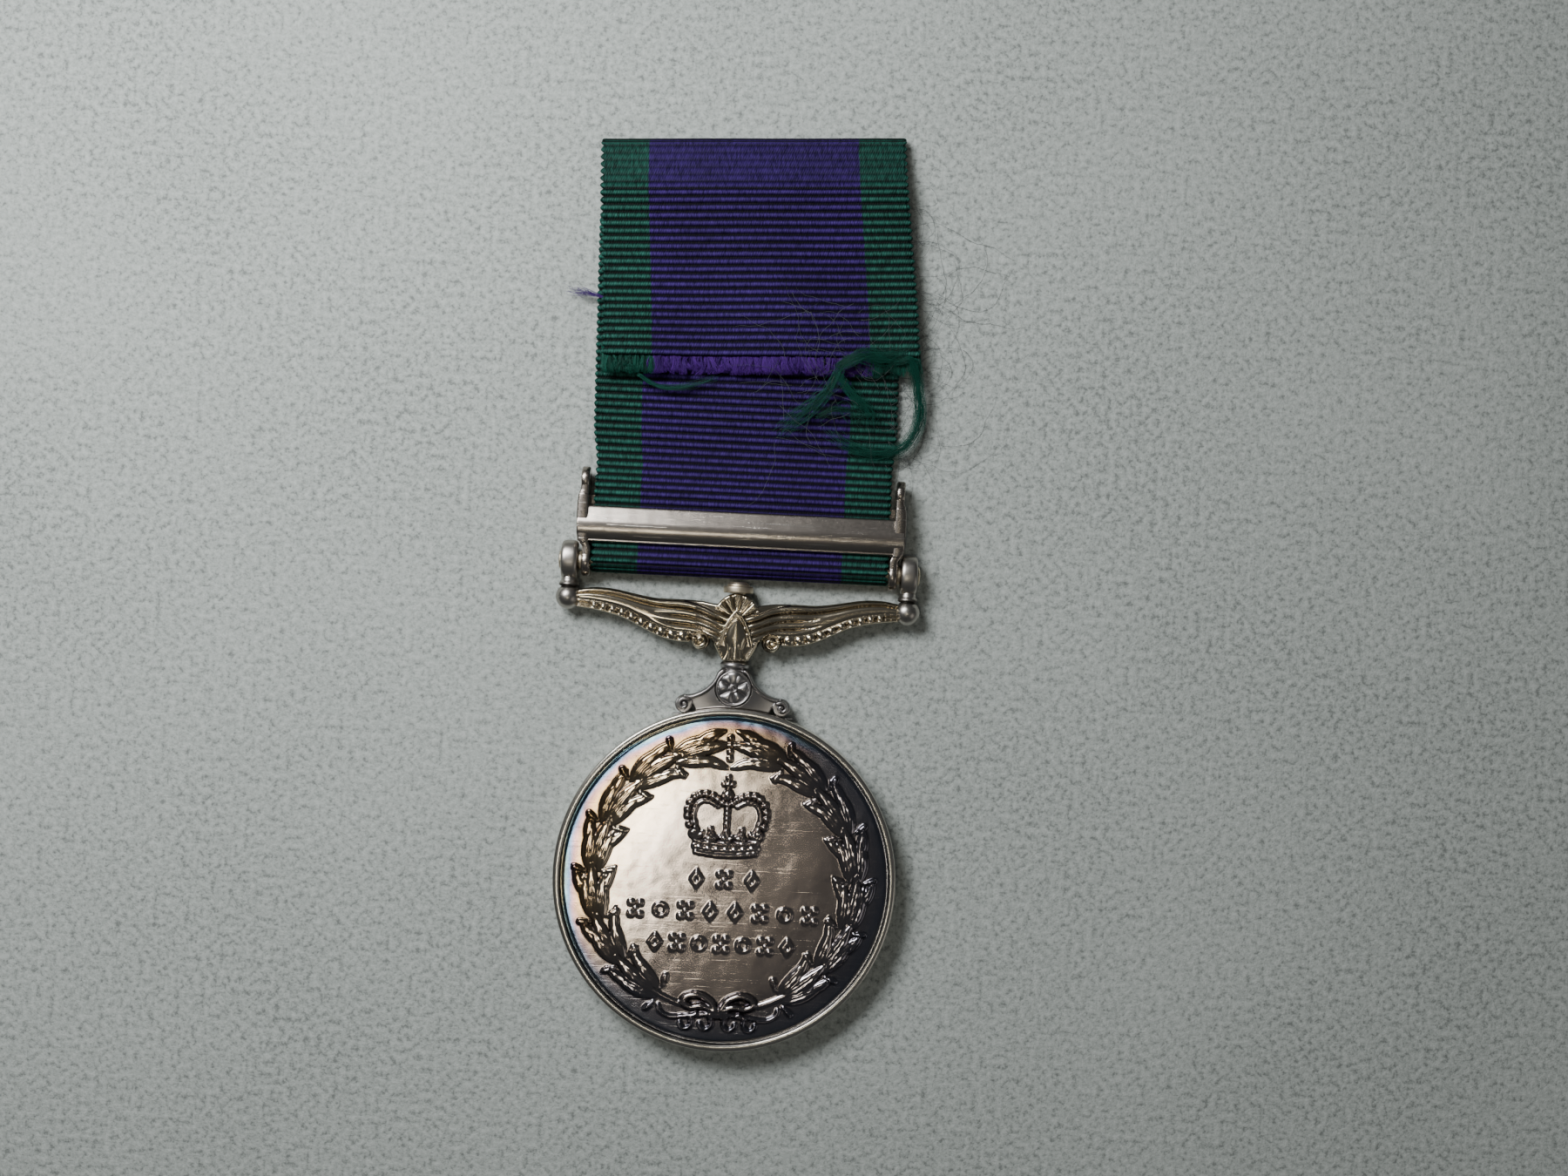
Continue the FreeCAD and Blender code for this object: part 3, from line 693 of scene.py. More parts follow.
def ornament(relief, x, y, kind):
    """One flat-topped raised ornament about 1.6 wide and 2.2 tall."""
    u, v = relief.local(x, y, 0)
    if kind == "lozenge":
        inset = 0.66 * (1 - np.abs(u) / 0.80 - np.abs(v) / 1.12)
        shapes = [np.where(inset < 0.30, inset, 0.60 - inset)]
    elif kind == "ring":
        shapes = [0.19 - np.abs(np.hypot(u, v) - 0.62)]
    else:
        shapes = [0.22 - np.hypot(u, v)]
        for turn in range(4):
            angle = math.pi / 4 + turn * math.pi / 2
            shapes.append(0.38 - np.hypot(u - 0.66 * math.cos(angle), v - 0.84 * math.sin(angle)))
    for inset in shapes:
        relief.raise_to(0.24 * np.clip(inset / 0.14, 0, 1))


def ornament_rows(relief):
    """Three rows of plain ornaments below the crown."""
    kinds = ("lozenge", "flower", "ring", "flower")
    for y, width, count, first in ((0.0, 7.4, 3, 0), (-3.4, 19.9, 8, 1), (-6.8, 15.5, 7, 0)):
        step = (width - 1.6) / (count - 1)
        for k in range(count):
            ornament(relief, -width / 2 + 0.8 + k * step, y, kinds[(first + min(k, count - 1 - k)) % 4])


def reverse_height(x, y):
    relief = Relief(x, y)
    wreath(relief)
    bow(relief)
    coronet(relief)
    ornament_rows(relief)
    return relief.height


def obverse_height(x, y):
    """The face on the table: a faceted star round a flat boss, inside beaded and leafy rings."""
    relief = Relief(x, y)
    radius, angle = np.hypot(x, y), np.arctan2(x, y)
    for points, reach, turn, height in ((8, 9.8, 0.0, 0.30), (8, 7.4, math.pi / 8, 0.24)):
        wedge = np.abs((angle - turn + math.pi / points) % (2 * math.pi / points) - math.pi / points)
        side = radius * np.sin(wedge)
        half = np.clip((reach - radius * np.cos(wedge)) * 0.26, 0, 1.6)
        relief.raise_to(height * np.clip(1 - side / (half + 1e-6), 0, 1) * np.clip(half, 0, 1))
    relief.raise_to(np.where(radius < 3.4, 0.2, 0) + 0.1 * dome(np.abs(radius - 3.1), 0.3))
    relief.raise_to(FIELD_DEPTH * np.clip((2.5 - radius) / 0.15, 0, 1))
    for ring, wide in ((10.9, 0.22), (15.0, 0.22)):
        relief.raise_to(0.22 * dome(np.abs(radius - ring), wide))
    for k in range(96):
        a = 2 * math.pi * k / 96
        relief.bead(16.05 * math.sin(a), 16.05 * math.cos(a), 0.38, 0.3)
    for k in range(24):
        a = 2 * math.pi * k / 24
        for turn in (0.5, -0.5):
            relief.leaf(12.0 * math.sin(a), 12.0 * math.cos(a), math.pi / 2 - a + turn, 2.4, 1.0, 0.24)
        relief.bead(13.9 * math.sin(a), 13.9 * math.cos(a), 0.34, 0.3)
    return relief.height


def make_disc():
    """Rim and two struck faces; each face is closed at the middle plane inside the rim."""
    def inside(x, y):
        return np.hypot(x, y) - FIELD_RADIUS - 0.12

    def gutter(x, y):
        return 0.07 * np.exp(-(((np.hypot(x, y) - FIELD_RADIUS + 0.12) / 0.14) ** 2))

    def level(x, y, depth):
        return np.full(x.shape, MID)

    def reverse(x, y, depth):
        return DISC_THICKNESS - FIELD_DEPTH + soft(reverse_height(x, y)) - gutter(x, y)

    def obverse(x, y, depth):
        return FIELD_DEPTH - obverse_height(x, y) + gutter(x, y)

    span = (-17.6, 17.6, -17.6, 17.6)
    faces = (
        ("disc_reverse", reverse, level, "bottom"),
        ("disc_obverse", level, obverse, "top"),
    )
    for name, top, bottom, flat in faces:
        points, blocks, recess = plate(inside, top, bottom, span, RELIEF_CELL, 5.0, flat)
        make_piece(name, points, blocks, "disc", "medal", recess=recess)
    inner, outer = FIELD_RADIUS, DISC_RADIUS
    rim = [(inner, 0.35), (inner + 0.06, 0.10), (inner + 0.16, 0.02), (17.5, 0.0), (17.82, 0.02),
           (17.93, 0.07), (17.98, 0.16), (outer, 0.3), (outer, 0.8), (outer, MID), (outer, 2.4),
           (outer, 2.9), (17.98, 3.04), (17.93, 3.13), (17.82, 3.18), (17.5, DISC_THICKNESS),
           (inner + 0.16, 3.18), (inner + 0.06, 3.10), (inner, 2.85), (inner, MID), (inner, 0.35)]
    around = 420
    points, blocks = lathe(rim, (0, 0, 0), "z", around)
    recess = np.repeat([1.0, 0.5, 0.1] + [0.0] * 13 + [0.1, 0.5, 1.0, 1.0, 1.0], around)
    make_piece("disc_rim", points, blocks[:1], "rim", "medal", recess=recess)
    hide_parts("medal_disc")


def soft(height):
    """Rounds the steps between neighbouring leaves by about a cell."""
    near = sum(np.roll(np.roll(height, i, 0), j, 1) for i in (-1, 0, 1) for j in (-1, 0, 1)) / 9
    return 0.55 * height + 0.45 * near


# ---- claw and swivel ----
def scroll_line(x, y, radius, turns, start, hand):
    """A spiral from its rim in to its eye."""
    t = np.linspace(0, 1, 40)
    angle = start + hand * turns * 2 * math.pi * t
    reach = radius * (1 - 0.86 * t)
    return [(x + r * math.cos(a), y + r * math.sin(a)) for r, a in zip(reach, angle)]


def rosette_height(x, y, radius):
    """Six broad petals and a centre ring inside a rim."""
    angle = np.arctan2(x, y - BOSS_Y)
    boss = 1.14 * np.clip((BOSS_RADIUS + 0.05 - radius) / 0.16, 0, 1) ** 0.5
    height = boss + 0.22 * dome(np.abs(radius - 1.76), 0.17)
    lobe = np.abs(np.sin(3 * angle)) ** 0.6
    petal = dome(np.clip((radius - 1.02) / 0.56, -1, 1), 1.0) ** 0.6 * lobe
    height = np.maximum(height, boss + 0.30 * petal)
    height = np.maximum(height, boss + 0.34 * dome(np.abs(radius - 0.34), 0.16))
    return np.maximum(height, boss + 0.10 * dome(radius, 0.2))


def make_claw():
    """The claw on the disc's edge: scroll feet, cheeks inside a raised rim and a rosette on each face."""
    outer = smooth_line([(1.35, 22.1), (1.75, 21.7), (2.05, 21.0), (2.55, 20.35),
                         (3.25, 19.75), (4.2, 19.3), (5.1, 19.16)])
    turn = np.linspace(math.pi / 2, -math.pi, 22)
    foot = [(5.15 + 0.93 * math.cos(a), 18.22 + 0.93 * math.sin(a)) for a in turn]
    half = np.array([(0, 22.1), *outer, *foot[1:], (3.6, 17.0), (0, 17.0)])
    edge_line = outer[:-2]
    spiral = scroll_line(5.14, 18.24, 0.66, 1.15, math.pi * 0.75, -1)

    def inside(x, y):
        shape = polygon_distance(half, np.abs(x), y)
        shape = np.where(np.abs(x) < 0.3, np.minimum(shape, -0.2), shape)
        shape = np.where((y > 22.1) | (y < 17.2), np.abs(y - 19.6) - 2.5, shape)
        shape = np.minimum(shape, np.hypot(x, y - BOSS_Y) - BOSS_RADIUS)
        return np.maximum(shape, DISC_RADIUS + 0.01 - np.hypot(x, y))

    def relief(x, y, depth):
        ax = np.abs(x)
        radius = np.hypot(x, y - BOSS_Y)
        height = 0.80 + 0.30 * np.clip((radius - 4.6) / -2.6, 0, 1) ** 2
        gap, _ = line_distance(edge_line, ax, y)
        height = height + 0.24 * dome(gap - 0.20, 0.24)
        near = np.hypot(ax - 5.14, y - 18.24)
        gap, _ = line_distance(spiral, ax, y)
        height = np.where(near < 0.92, 0.86 + 0.36 * dome(gap, 0.19), height)
        height = height - 0.20 * edge_round(depth, 0.20)
        return np.where(radius < BOSS_RADIUS + 0.02, rosette_height(x, y, radius), height)

    points, faces, recess = plate(
        inside, lambda x, y, d: MID + relief(x, y, d), lambda x, y, d: MID - relief(x, y, d),
        (-6.3, 6.3, 17.0, 22.2), 0.055)
    make_piece("claw_casting", points, faces, "claw", "medal", "suspender_claw", recess=recess)


def make_swivel():
    """Neck, collar, washer and the post's peened end, all turned on the medal's axis."""
    neck = ((0, 20.6), (1.42, 20.6), (1.45, 21.6), (1.25, 21.95), (1.3, 22.1), (0, 22.1))
    collar = ((0, 22.1), (1.35, 22.1), (1.55, 22.32), (1.57, 22.6), (1.4, 22.86), (1.2, 22.92), (0, 22.92))
    washer = ((0, 30.12), (1.5, 30.12), (1.57, 30.22), (1.57, 30.76), (1.48, 30.85), (0, 30.85))
    head = ((0, 30.8), (1.16, 30.8), (1.18, 30.95), (1.10, 31.12), (0.8, 31.2), (0, 31.22))
    pieces = (
        ("neck_turning", neck, "claw", None),
        ("swivel_bead", collar, "claw", "swivel_collar"),
        ("post_washer", washer, "rivet", "swivel_washer"),
        ("post_head", head, "rivet", None),
    )
    for name, profile, material, node in pieces:
        points, faces = lathe(turned(*profile), (0, 0, MID), "y", 72)
        make_piece(name, points, faces, material, "medal", node)


# ---- suspender ----
WING_TOP = smooth_line([(1.6, 28.95), (2.4, 28.9), (3.85, 29.12), (6.0, 29.2), (8.4, 29.2),
                        (10.3, 29.45), (13.1, 29.95), (15.2, 30.02), (16.9, 29.75)])
WING_LOW = smooth_line([(16.95, 27.9), (14.7, 27.62), (12.1, 27.0), (10.15, 26.12), (8.6, 25.4),
                        (7.2, 24.95), (5.9, 24.75), (4.9, 24.75)])
FAN_FOOT = 27.3  # where the fan's rays meet
FAN_MIDDLE = 27.72
FAN_RADIUS = 2.36
# outlines of the pointed shapes, as (y, half-width) from the foot up
SHIELD_SIDE = ((23.0, 1.20), (23.5, 0.98), (24.2, 0.80), (24.8, 0.93), (25.5, 1.10), (26.3, 0.88),
               (27.0, 0.45), (27.45, 0.0))
CHEVRON_SIDE = ((24.5, 1.95), (25.2, 1.72), (26.2, 1.45), (27.2, 0.98), (27.9, 0.50), (28.5, 0.0))


def edge_at(x, line):
    """The y of an edge line at each x."""
    return np.interp(x, line[:, 0], line[:, 1])


def side_at(y, side):
    """The half-width of a pointed shape at each y."""
    line = smooth_line(side)
    return np.interp(y, line[:, 0], line[:, 1])


def wing_height(ax, y):
    """A smooth band that parts into flutes near the middle, over a sunk channel and a rim."""
    low, high = edge_at(ax, WING_LOW[::-1]), edge_at(ax, WING_TOP)
    inwards = np.clip((6.0 - ax) / 6.0, 0, 1)
    base = low + 1.08 - 0.02 * ax - 1.9 * inwards**2
    crest = high - 0.12 - 1.6 * inwards**1.5
    t = np.clip((y - base) / (crest - base), 0, 1)
    parted = ease(-ax, -9.5, -6.0)
    band = 1 - np.abs(2 * np.clip(t / 0.76, 0, 1) - 1) ** 3.0
    flutes = np.abs(np.sin(math.pi * 3 * np.clip(t / 0.76, 0, 1))) ** 0.6
    lip = dome(t - 0.90, 0.10)
    height = 0.58 + 0.36 * np.maximum(band * (1 - parted) + flutes * parted, 0.9 * lip)
    channel = np.where(y < low + 0.26, 0.66 + 0.26 * dome(y - low - 0.12, 0.16), 0.60)
    height = np.where(y > base, height, channel)
    return np.maximum(height, np.where(np.abs(y - base) < 0.13, 0.70 + 0.20 * dome(y - base, 0.13), 0))


def bead_row(ax, y, height):
    """Round beads in the channel, smaller towards the tip."""
    for k in range(10):
        px = 5.6 + k * 1.14 - 0.010 * k * k
        size = 0.56 - 0.028 * k
        py = edge_at(px, WING_LOW[::-1]) + 0.62 - 0.014 * k
        bead = dome(np.hypot((ax - px) / 1.12, y - py), size)
        height = np.maximum(height, np.where(bead > 0, 0.60 + 0.42 * bead, 0))
    return height


def fan_height(x, y, height):
    """Seven level rays parted by grooves."""
    radius, angle = np.hypot(x, y - FAN_FOOT), np.arctan2(x, y - FAN_FOOT)
    rays = np.abs(np.cos(angle * 7.0))
    shape = 0.94 + 0.26 * np.minimum(rays * 1.5, 1) * np.clip(radius, 0, 1)
    within = (np.hypot(x, y - FAN_MIDDLE) < FAN_RADIUS) & (y > 27.55 + 0.30 * np.abs(x))
    return np.where(within, shape, height)


def calyx_height(ax, y, height):
    """The smooth cup that gathers the wings and scrolls into the neck."""
    side = np.interp(y, [22.9, 23.4, 24.1, 24.7, 25.3], [1.35, 1.65, 2.05, 2.35, 2.62])
    t = np.clip(ax / side, 0, 1)
    cup = 1.34 - 0.50 * t**2 + 0.16 * dome(t - 0.90, 0.12)
    return np.where((y < 25.1) & (ax < side + 0.05), cup, height)


def shield_height(ax, y, height):
    """A glossy pointed shield with a folded foot, on a plain pointed chevron."""
    wide = side_at(y, CHEVRON_SIDE)
    within = (y > 24.5) & (y < 28.5) & (ax < wide)
    plain = 1.22 + 0.14 * dome(ax - wide + 0.16, 0.20)
    height = np.where(within, np.maximum(height, plain), height)
    wide = side_at(y, SHIELD_SIDE)
    within = (y < 27.45) & (ax < wide)
    swell = np.sqrt(np.clip(1 - (ax / (wide + 1e-6)) ** 2, 0, 1))
    folds = 0.16 * np.exp(-(((ax - 0.40) / 0.12) ** 2)) * ease(-y, -25.0, -24.2)
    return np.where(within, 1.22 + 0.40 * swell - folds, height)


def make_suspender():
    """The winged casting: fluted arms over a row of beads, root scrolls, a shield and a fan above it."""
    scroll_x, scroll_y, scroll_radius = 3.72, 24.95, 0.98
    turn = np.linspace(0.1, -math.pi, 14)
    curl = [(scroll_x + scroll_radius * math.cos(a), scroll_y + scroll_radius * math.sin(a)) for a in turn]
    root = smooth_line([(2.62, 25.3), (2.35, 24.7), (2.05, 24.1), (1.65, 23.4), (1.35, 22.98)])
    half = np.array([(0, 28.9), *WING_TOP, *WING_LOW, *curl, *root, (0, 22.98)])
    spiral = scroll_line(scroll_x + 0.02, scroll_y + 0.02, 0.72, 1.2, 0.3, -1)

    def inside(x, y):
        ax = np.abs(x)
        shape = polygon_distance(half, ax, y)
        fan_edge = np.maximum(np.hypot(x, y - FAN_MIDDLE) - FAN_RADIUS, 27.7 - y)
        shape = np.minimum(shape, np.maximum(fan_edge, y - 30.1))
        return np.where((ax < 0.35) & (y > 23.2) & (y < 29.8), np.minimum(shape, -0.3), shape)

    def relief(x, y, depth):
        ax = np.abs(x)
        height = bead_row(ax, y, wing_height(ax, y)) + 0.34 * ease(-ax, -4.6, -1.6)
        near = np.hypot(ax - scroll_x, y - scroll_y)
        gap, _ = line_distance(spiral, ax, y)
        height = np.where((near < scroll_radius + 0.03) & (y < 26.1), 0.70 + 0.44 * dome(gap, 0.24), height)
        height = shield_height(ax, y, calyx_height(ax, y, fan_height(x, y, height)))
        return height - 0.26 * edge_round(depth, 0.26)

    points, faces, recess = plate(
        inside, lambda x, y, d: MID + relief(x, y, d), lambda x, y, d: MID - relief(x, y, d),
        (-17.2, 17.2, 22.8, 30.2), 0.06)
    make_piece("suspender_casting", points, faces, "suspender", "suspender", "suspender", recess=recess)
    for side, sign in (("right", 1), ("left", -1)):
        points, faces, recess = suspender_end()
        if sign < 0:
            points, faces = mirrored(points, faces)
        make_piece("suspender_end_" + side, points, faces, "ends", "suspender", recess=recess)


def suspender_end():
    """A ball with a collar, and the pierced oval eye that stands on it."""
    angle = np.linspace(-math.pi / 2, math.pi / 2, 24)
    ball = [(1.33 * math.cos(a), 28.9 + 1.33 * math.sin(a)) for a in angle]
    neck = [(0, 29.9), (0.92, 30.02), (1.06, 30.12), (1.08, 30.28), (1.0, 30.42), (0.90, 30.5),
            (0.84, 30.8), (0.84, 31.3), (0, 31.6)]
    ball_part = lathe(ball, (BALL_X, 0, MID), "y", 56)
    neck_part = lathe(neck, (BALL_X, 0, MID), "y", 56)
    around, across = 72, 24
    t = np.linspace(0, 2 * math.pi, around, endpoint=False)[:, None]
    s = np.linspace(0, 2 * math.pi, across, endpoint=False)[None, :]
    # the hole is round and the outside is oval, so the wall is thicker along the suspender's height
    outer_y, outer_z, hole = 2.12, 1.6, ROD_RADIUS + 0.05
    power = 0.62
    cs, sn = np.cos(s), np.sin(s)
    cs, sn = np.sign(cs) * np.abs(cs) ** power, np.sign(sn) * np.abs(sn) ** power
    mix = (cs + 1) / 2
    y = ROD_Y + np.cos(t) * (hole + (outer_y - hole) * mix)
    z = MID + np.sin(t) * (hole + (outer_z - hole) * mix)
    x = BALL_X + 0.88 * sn + 0 * t
    points = np.stack([x.ravel(), y.ravel(), z.ravel()], 1)
    i, j = (a.ravel() for a in np.meshgrid(np.arange(around), np.arange(across), indexing="ij"))
    i2, j2 = (i + 1) % around, (j + 1) % across
    quads = np.stack([i * across + j, i2 * across + j, i2 * across + j2, i * across + j2], 1)
    points, faces = joined(ball_part, neck_part, (points, [quads]))
    recess = np.clip(1 - np.abs(points[:, 1] - 30.1) / 0.35, 0, 1) * 0.8
    return points, faces, recess


# ---- rod and clasp ----
def make_rod():
    """The rod with its peened heads, and the two thin rings on it."""
    shank = turned((0, -18.83), (ROD_RADIUS, -18.83), (ROD_RADIUS, 18.83), (0, 18.83))
    points, faces = lathe(shank, (0, ROD_Y, MID), "x", 48)
    make_piece("rod_shank", points, faces, "rivet", "ribbon_and_clasp", "ribbon_rod")
    head = [(0, 18.8), (0.98, 18.8), (1.0, 18.86), (0.96, 18.94), (0.8, 19.02), (0.5, 19.07), (0, 19.08)]
    ring = turned((ROD_RADIUS, 16.58), (0.95, 16.58), (0.95, 16.97), (ROD_RADIUS, 16.97))
    for side, sign in (("right", 1), ("left", -1)):
        for name, profile, node in (("rod_head_", head, None), ("spacer_", ring, "rod_spacer_" + side)):
            points, faces = lathe(profile, (0, ROD_Y, MID), "x", 48)
            if sign < 0:
                points, faces = mirrored(points, faces)
            make_piece(name + side, points, faces, "rivet", "ribbon_and_clasp", node)


def make_clasp_sides():
    """Carriage plates seen along X: rounded lugs top and bottom, and a bulging cheek between them."""
    def inside(y, z):
        lower = np.hypot(y - 32.65, z - MID) - 1.5
        neck = np.maximum(np.abs(y - 33.9) - 1.3, np.abs(z - MID) - 1.3)
        cheek = np.maximum(np.abs(y - STRAP_Y) - 2.55, np.abs(z - 1.62) - 1.55)
        upper = np.maximum(np.abs(y - 40.5) - 0.95, np.abs(z - MID) - 1.3)
        tip = np.hypot(y - LUG_Y, z - MID) - 1.42
        body = np.minimum.reduce([lower, neck, cheek, upper, tip])
        rivet_hole = 0.5 - np.hypot(y - LUG_Y, z - MID)
        return np.maximum(body, rivet_hole)

    def middle(y):
        return np.interp(y, [31, 34.2, 34.9, 39.8, 43], [16.15, 16.15, 16.42, 16.55, 16.58])

    def thickness(y, depth):
        bulge = 0.36 * dome(y - 37.3, 2.9)
        return 0.43 + bulge * 0.5 - 0.16 * edge_round(depth, 0.16), bulge * 0.5

    def outer(y, z, depth):
        half, shift = thickness(y, depth)
        return middle(y) + shift + half

    def inner(y, z, depth):
        half, shift = thickness(y, depth)
        return middle(y) + shift - np.minimum(half, 0.43 + shift)

    for side, sign in (("right", 1), ("left", -1)):
        points, faces, recess = plate(inside, outer, inner, (31.0, 43.0, -0.1, 3.4), 0.07)
        points = points[:, [2, 0, 1]]
        if sign > 0:
            bend = np.clip((points[:, 1] - 40.2) / 2.6, 0, 1)
            points[:, 0] += 0.10 * bend**2
            dent = np.exp(-(((points[:, 2] - 2.5) / 0.4) ** 2))
            points[:, 1] -= 0.22 * dent * np.clip(bend * 2 - 1, 0, 1)
        else:
            points, faces = mirrored(points, faces)
        make_piece("clasp_cheek_" + side, points, faces, "clasp", "ribbon_and_clasp",
                   "clasp_side_" + side, recess=recess)


def swept_bar(profile, half_width, columns):
    """A closed bar along X from a YZ outline; half_width gives where each outline point ends."""
    outline = np.asarray(profile, dtype=float)
    ends = np.array([half_width(y) for y, _ in outline])
    s = np.linspace(-1, 1, columns)
    count = len(outline)
    x = s[:, None] * ends[None, :]
    points = np.stack([x.ravel(), np.tile(outline[:, 0], columns), np.tile(outline[:, 1], columns)], 1)
    return points, [ring_quads(columns, count), *end_caps(columns, count)]


def make_clasp_bars():
    """The domed back strap and the recessed face plate on the far side of the ribbon."""
    crest = smooth_line([(38.62, 2.60), (38.5, 2.80), (38.1, 2.93), (37.6, 3.06), (37.1, 3.20),
                         (36.75, 3.27), (36.3, 3.29), (35.9, 3.24), (35.5, 3.12), (35.2, 2.96),
                         (35.08, 2.86), (34.98, 2.88), (34.86, 2.84), (34.8, 2.68)], 5)
    outline = [*crest, (34.8, 2.46), (34.88, 2.37), (38.54, 2.37), (38.62, 2.46)]
    points, faces = swept_bar(outline, lambda y: 16.9 + 0.32 * float(dome(y - 36.9, 2.8)), 260)
    y = points[:, 1]
    crevice = np.exp(-(((y - 35.1) / 0.1) ** 2))
    recess = 0.15 * (y > 37.6) * np.clip((y - 37.4) / 0.4, 0, 1) + 0.5 * crevice
    make_piece("back_strap", points, faces, "clasp", "ribbon_and_clasp", "clasp_back_strap", recess=recess)

    def inside(x, y):
        ends = np.where(np.abs(x) > 12.85, np.hypot(np.abs(x) - 12.85, y - STRAP_Y) - 4.55, -1.0)
        return np.maximum(np.abs(y - STRAP_Y) - 2.55, ends)

    def face(x, y, depth):
        panel = np.maximum(np.abs(x) - 16.1, np.abs(y - STRAP_Y) - 1.95)
        sunk = np.clip(-panel / 0.12, 0, 1) * 0.15
        stipple = 0.02 * np.sin(x * 9) * np.sin(y * 9) * (sunk > 0.1)
        bead = 0.06 * dome(np.abs(panel - 0.22), 0.14)
        return 0.06 + sunk + stipple - bead + 0.12 * edge_round(depth, 0.14)

    def back(x, y, depth):
        return np.full(x.shape, 0.85)

    points, faces, recess = plate(inside, back, face, (-17.6, 17.6, 34.6, 39.9), 0.09)
    make_piece("face_plate", points, faces, "clasp", "ribbon_and_clasp", "clasp_front_plate", recess=recess)


# ---- ribbon ----
def corner_cut(points, rounds=3):
    """Chaikin's smoothing: each corner is cut a quarter of the way along both runs."""
    line = np.asarray(points, dtype=float)
    for _ in range(rounds):
        a, b = line[:-1], line[1:]
        cut = np.empty((2 * len(a), 2))
        cut[0::2], cut[1::2] = 0.75 * a + 0.25 * b, 0.25 * a + 0.75 * b
        line = np.vstack([line[:1], cut, line[-1:]])
    return line


def ribbon_line():
    """(y, z) of the ribbon's middle, from its hidden end to the flap's cut end, and the length along it."""
    wrap = ROD_RADIUS + 0.25
    turn = np.linspace(math.radians(68), math.radians(292), 26)
    rod = [(ROD_Y + wrap * math.cos(a), MID + wrap * math.sin(a)) for a in turn]
    back = [(70.0, 0.76), (58.0, 0.76), (49.0, 0.76), (46.3, 0.76), (44.6, 0.84), (42.6, 1.32),
            (40.9, 1.86), (39.2, 2.02), (36.0, 2.03), (34.4, 2.10)]
    front = [(34.4, 1.10), (36.0, 1.17), (39.2, 1.18), (41.0, 1.0), (42.8, 0.50), (44.6, 0.26),
             (47.0, 0.235), (60.0, 0.235), (76.9, 0.235)]
    fold = [(77.75, 0.26), (78.10, 0.50), (78.18, 0.86), (78.02, 1.22), (77.5, 1.42)]
    flap = [(76.0, 1.66), (74.0, 2.06), (72.9, 2.32), (72.2, 2.36), (70.5, 2.12), (67.0, 1.80),
            (62.0, 1.72), (57.0, 1.84), (54.5, 2.05), (52.9, 2.22)]
    line = corner_cut([*back, *rod, *front, *fold, *flap])
    steps = np.hypot(*np.diff(line, axis=0).T)
    return line, np.concatenate([[0], np.cumsum(steps)])


def ease(value, low, high):
    t = np.clip((value - low) / (high - low), 0, 1)
    return t * t * (3 - 2 * t)


class RibbonShape:
    """Maps (across, along) on the flat ribbon, and a side of it, to the place where it lies."""

    def __init__(self):
        self.line, self.length = ribbon_line()
        self.total = self.length[-1]
        furthest = np.argmax(self.line[:, 0] * (self.length > FOLD_AFTER))
        self.fold = float(self.length[furthest])

    def spot(self, s):
        return [np.interp(s, self.length, self.line[:, k]) for k in (0, 1)]

    def at(self, s):
        """Place and direction at a length along the folded path."""
        y, z = self.spot(s)
        (y_after, z_after), (y_before, z_before) = self.spot(s + HALF_PATH), self.spot(s - HALF_PATH)
        dy, dz = y_after - y_before, z_after - z_before
        size = np.hypot(dy, dz) + 1e-9
        return y, z, dy / size, dz / size

    def place(self, u, s, off):
        """Where a point lies that is u across, s along and off above the flap's upper side."""
        y, z, dy, dz = self.at(s)
        flap = ease(s, self.fold - 1.0, self.total)
        narrow = 1 - 0.028 * (1 - ease(y, 43.0, 47.5))
        x = u * narrow * (1 + 0.040 * flap)
        skew = math.radians(2.8) * ease(y, 43.5, 78.4) * (s < self.total) + math.radians(1.5) * flap
        # the middle of the fabric rises a little and its selvedges cup
        loose = ease(y, 44.0, 50.0)
        sag = 0.05 * loose * np.sin(x * 0.35 + y * 0.12) * (1 + 1.2 * flap)
        lift = flap**2 * (0.25 * (u / RIBBON_HALF) ** 2 + 0.18 * np.sin(u * 0.42 + 0.6))
        y2 = y + x * np.tan(skew) - off * dz
        z2 = z + sag + lift - off * dy
        x2 = x - math.tan(math.radians(1.1)) * np.maximum(y - 43.0, 0) + 1.45 * flap
        return np.stack([x2, y2, z2], -1)


def ribbon_width(s):
    """Half-width with the weft's loops standing out at each rib."""
    return RIBBON_HALF + 0.36 * (np.abs(np.sin(math.pi * s / RIB_PITCH)) - 0.7)


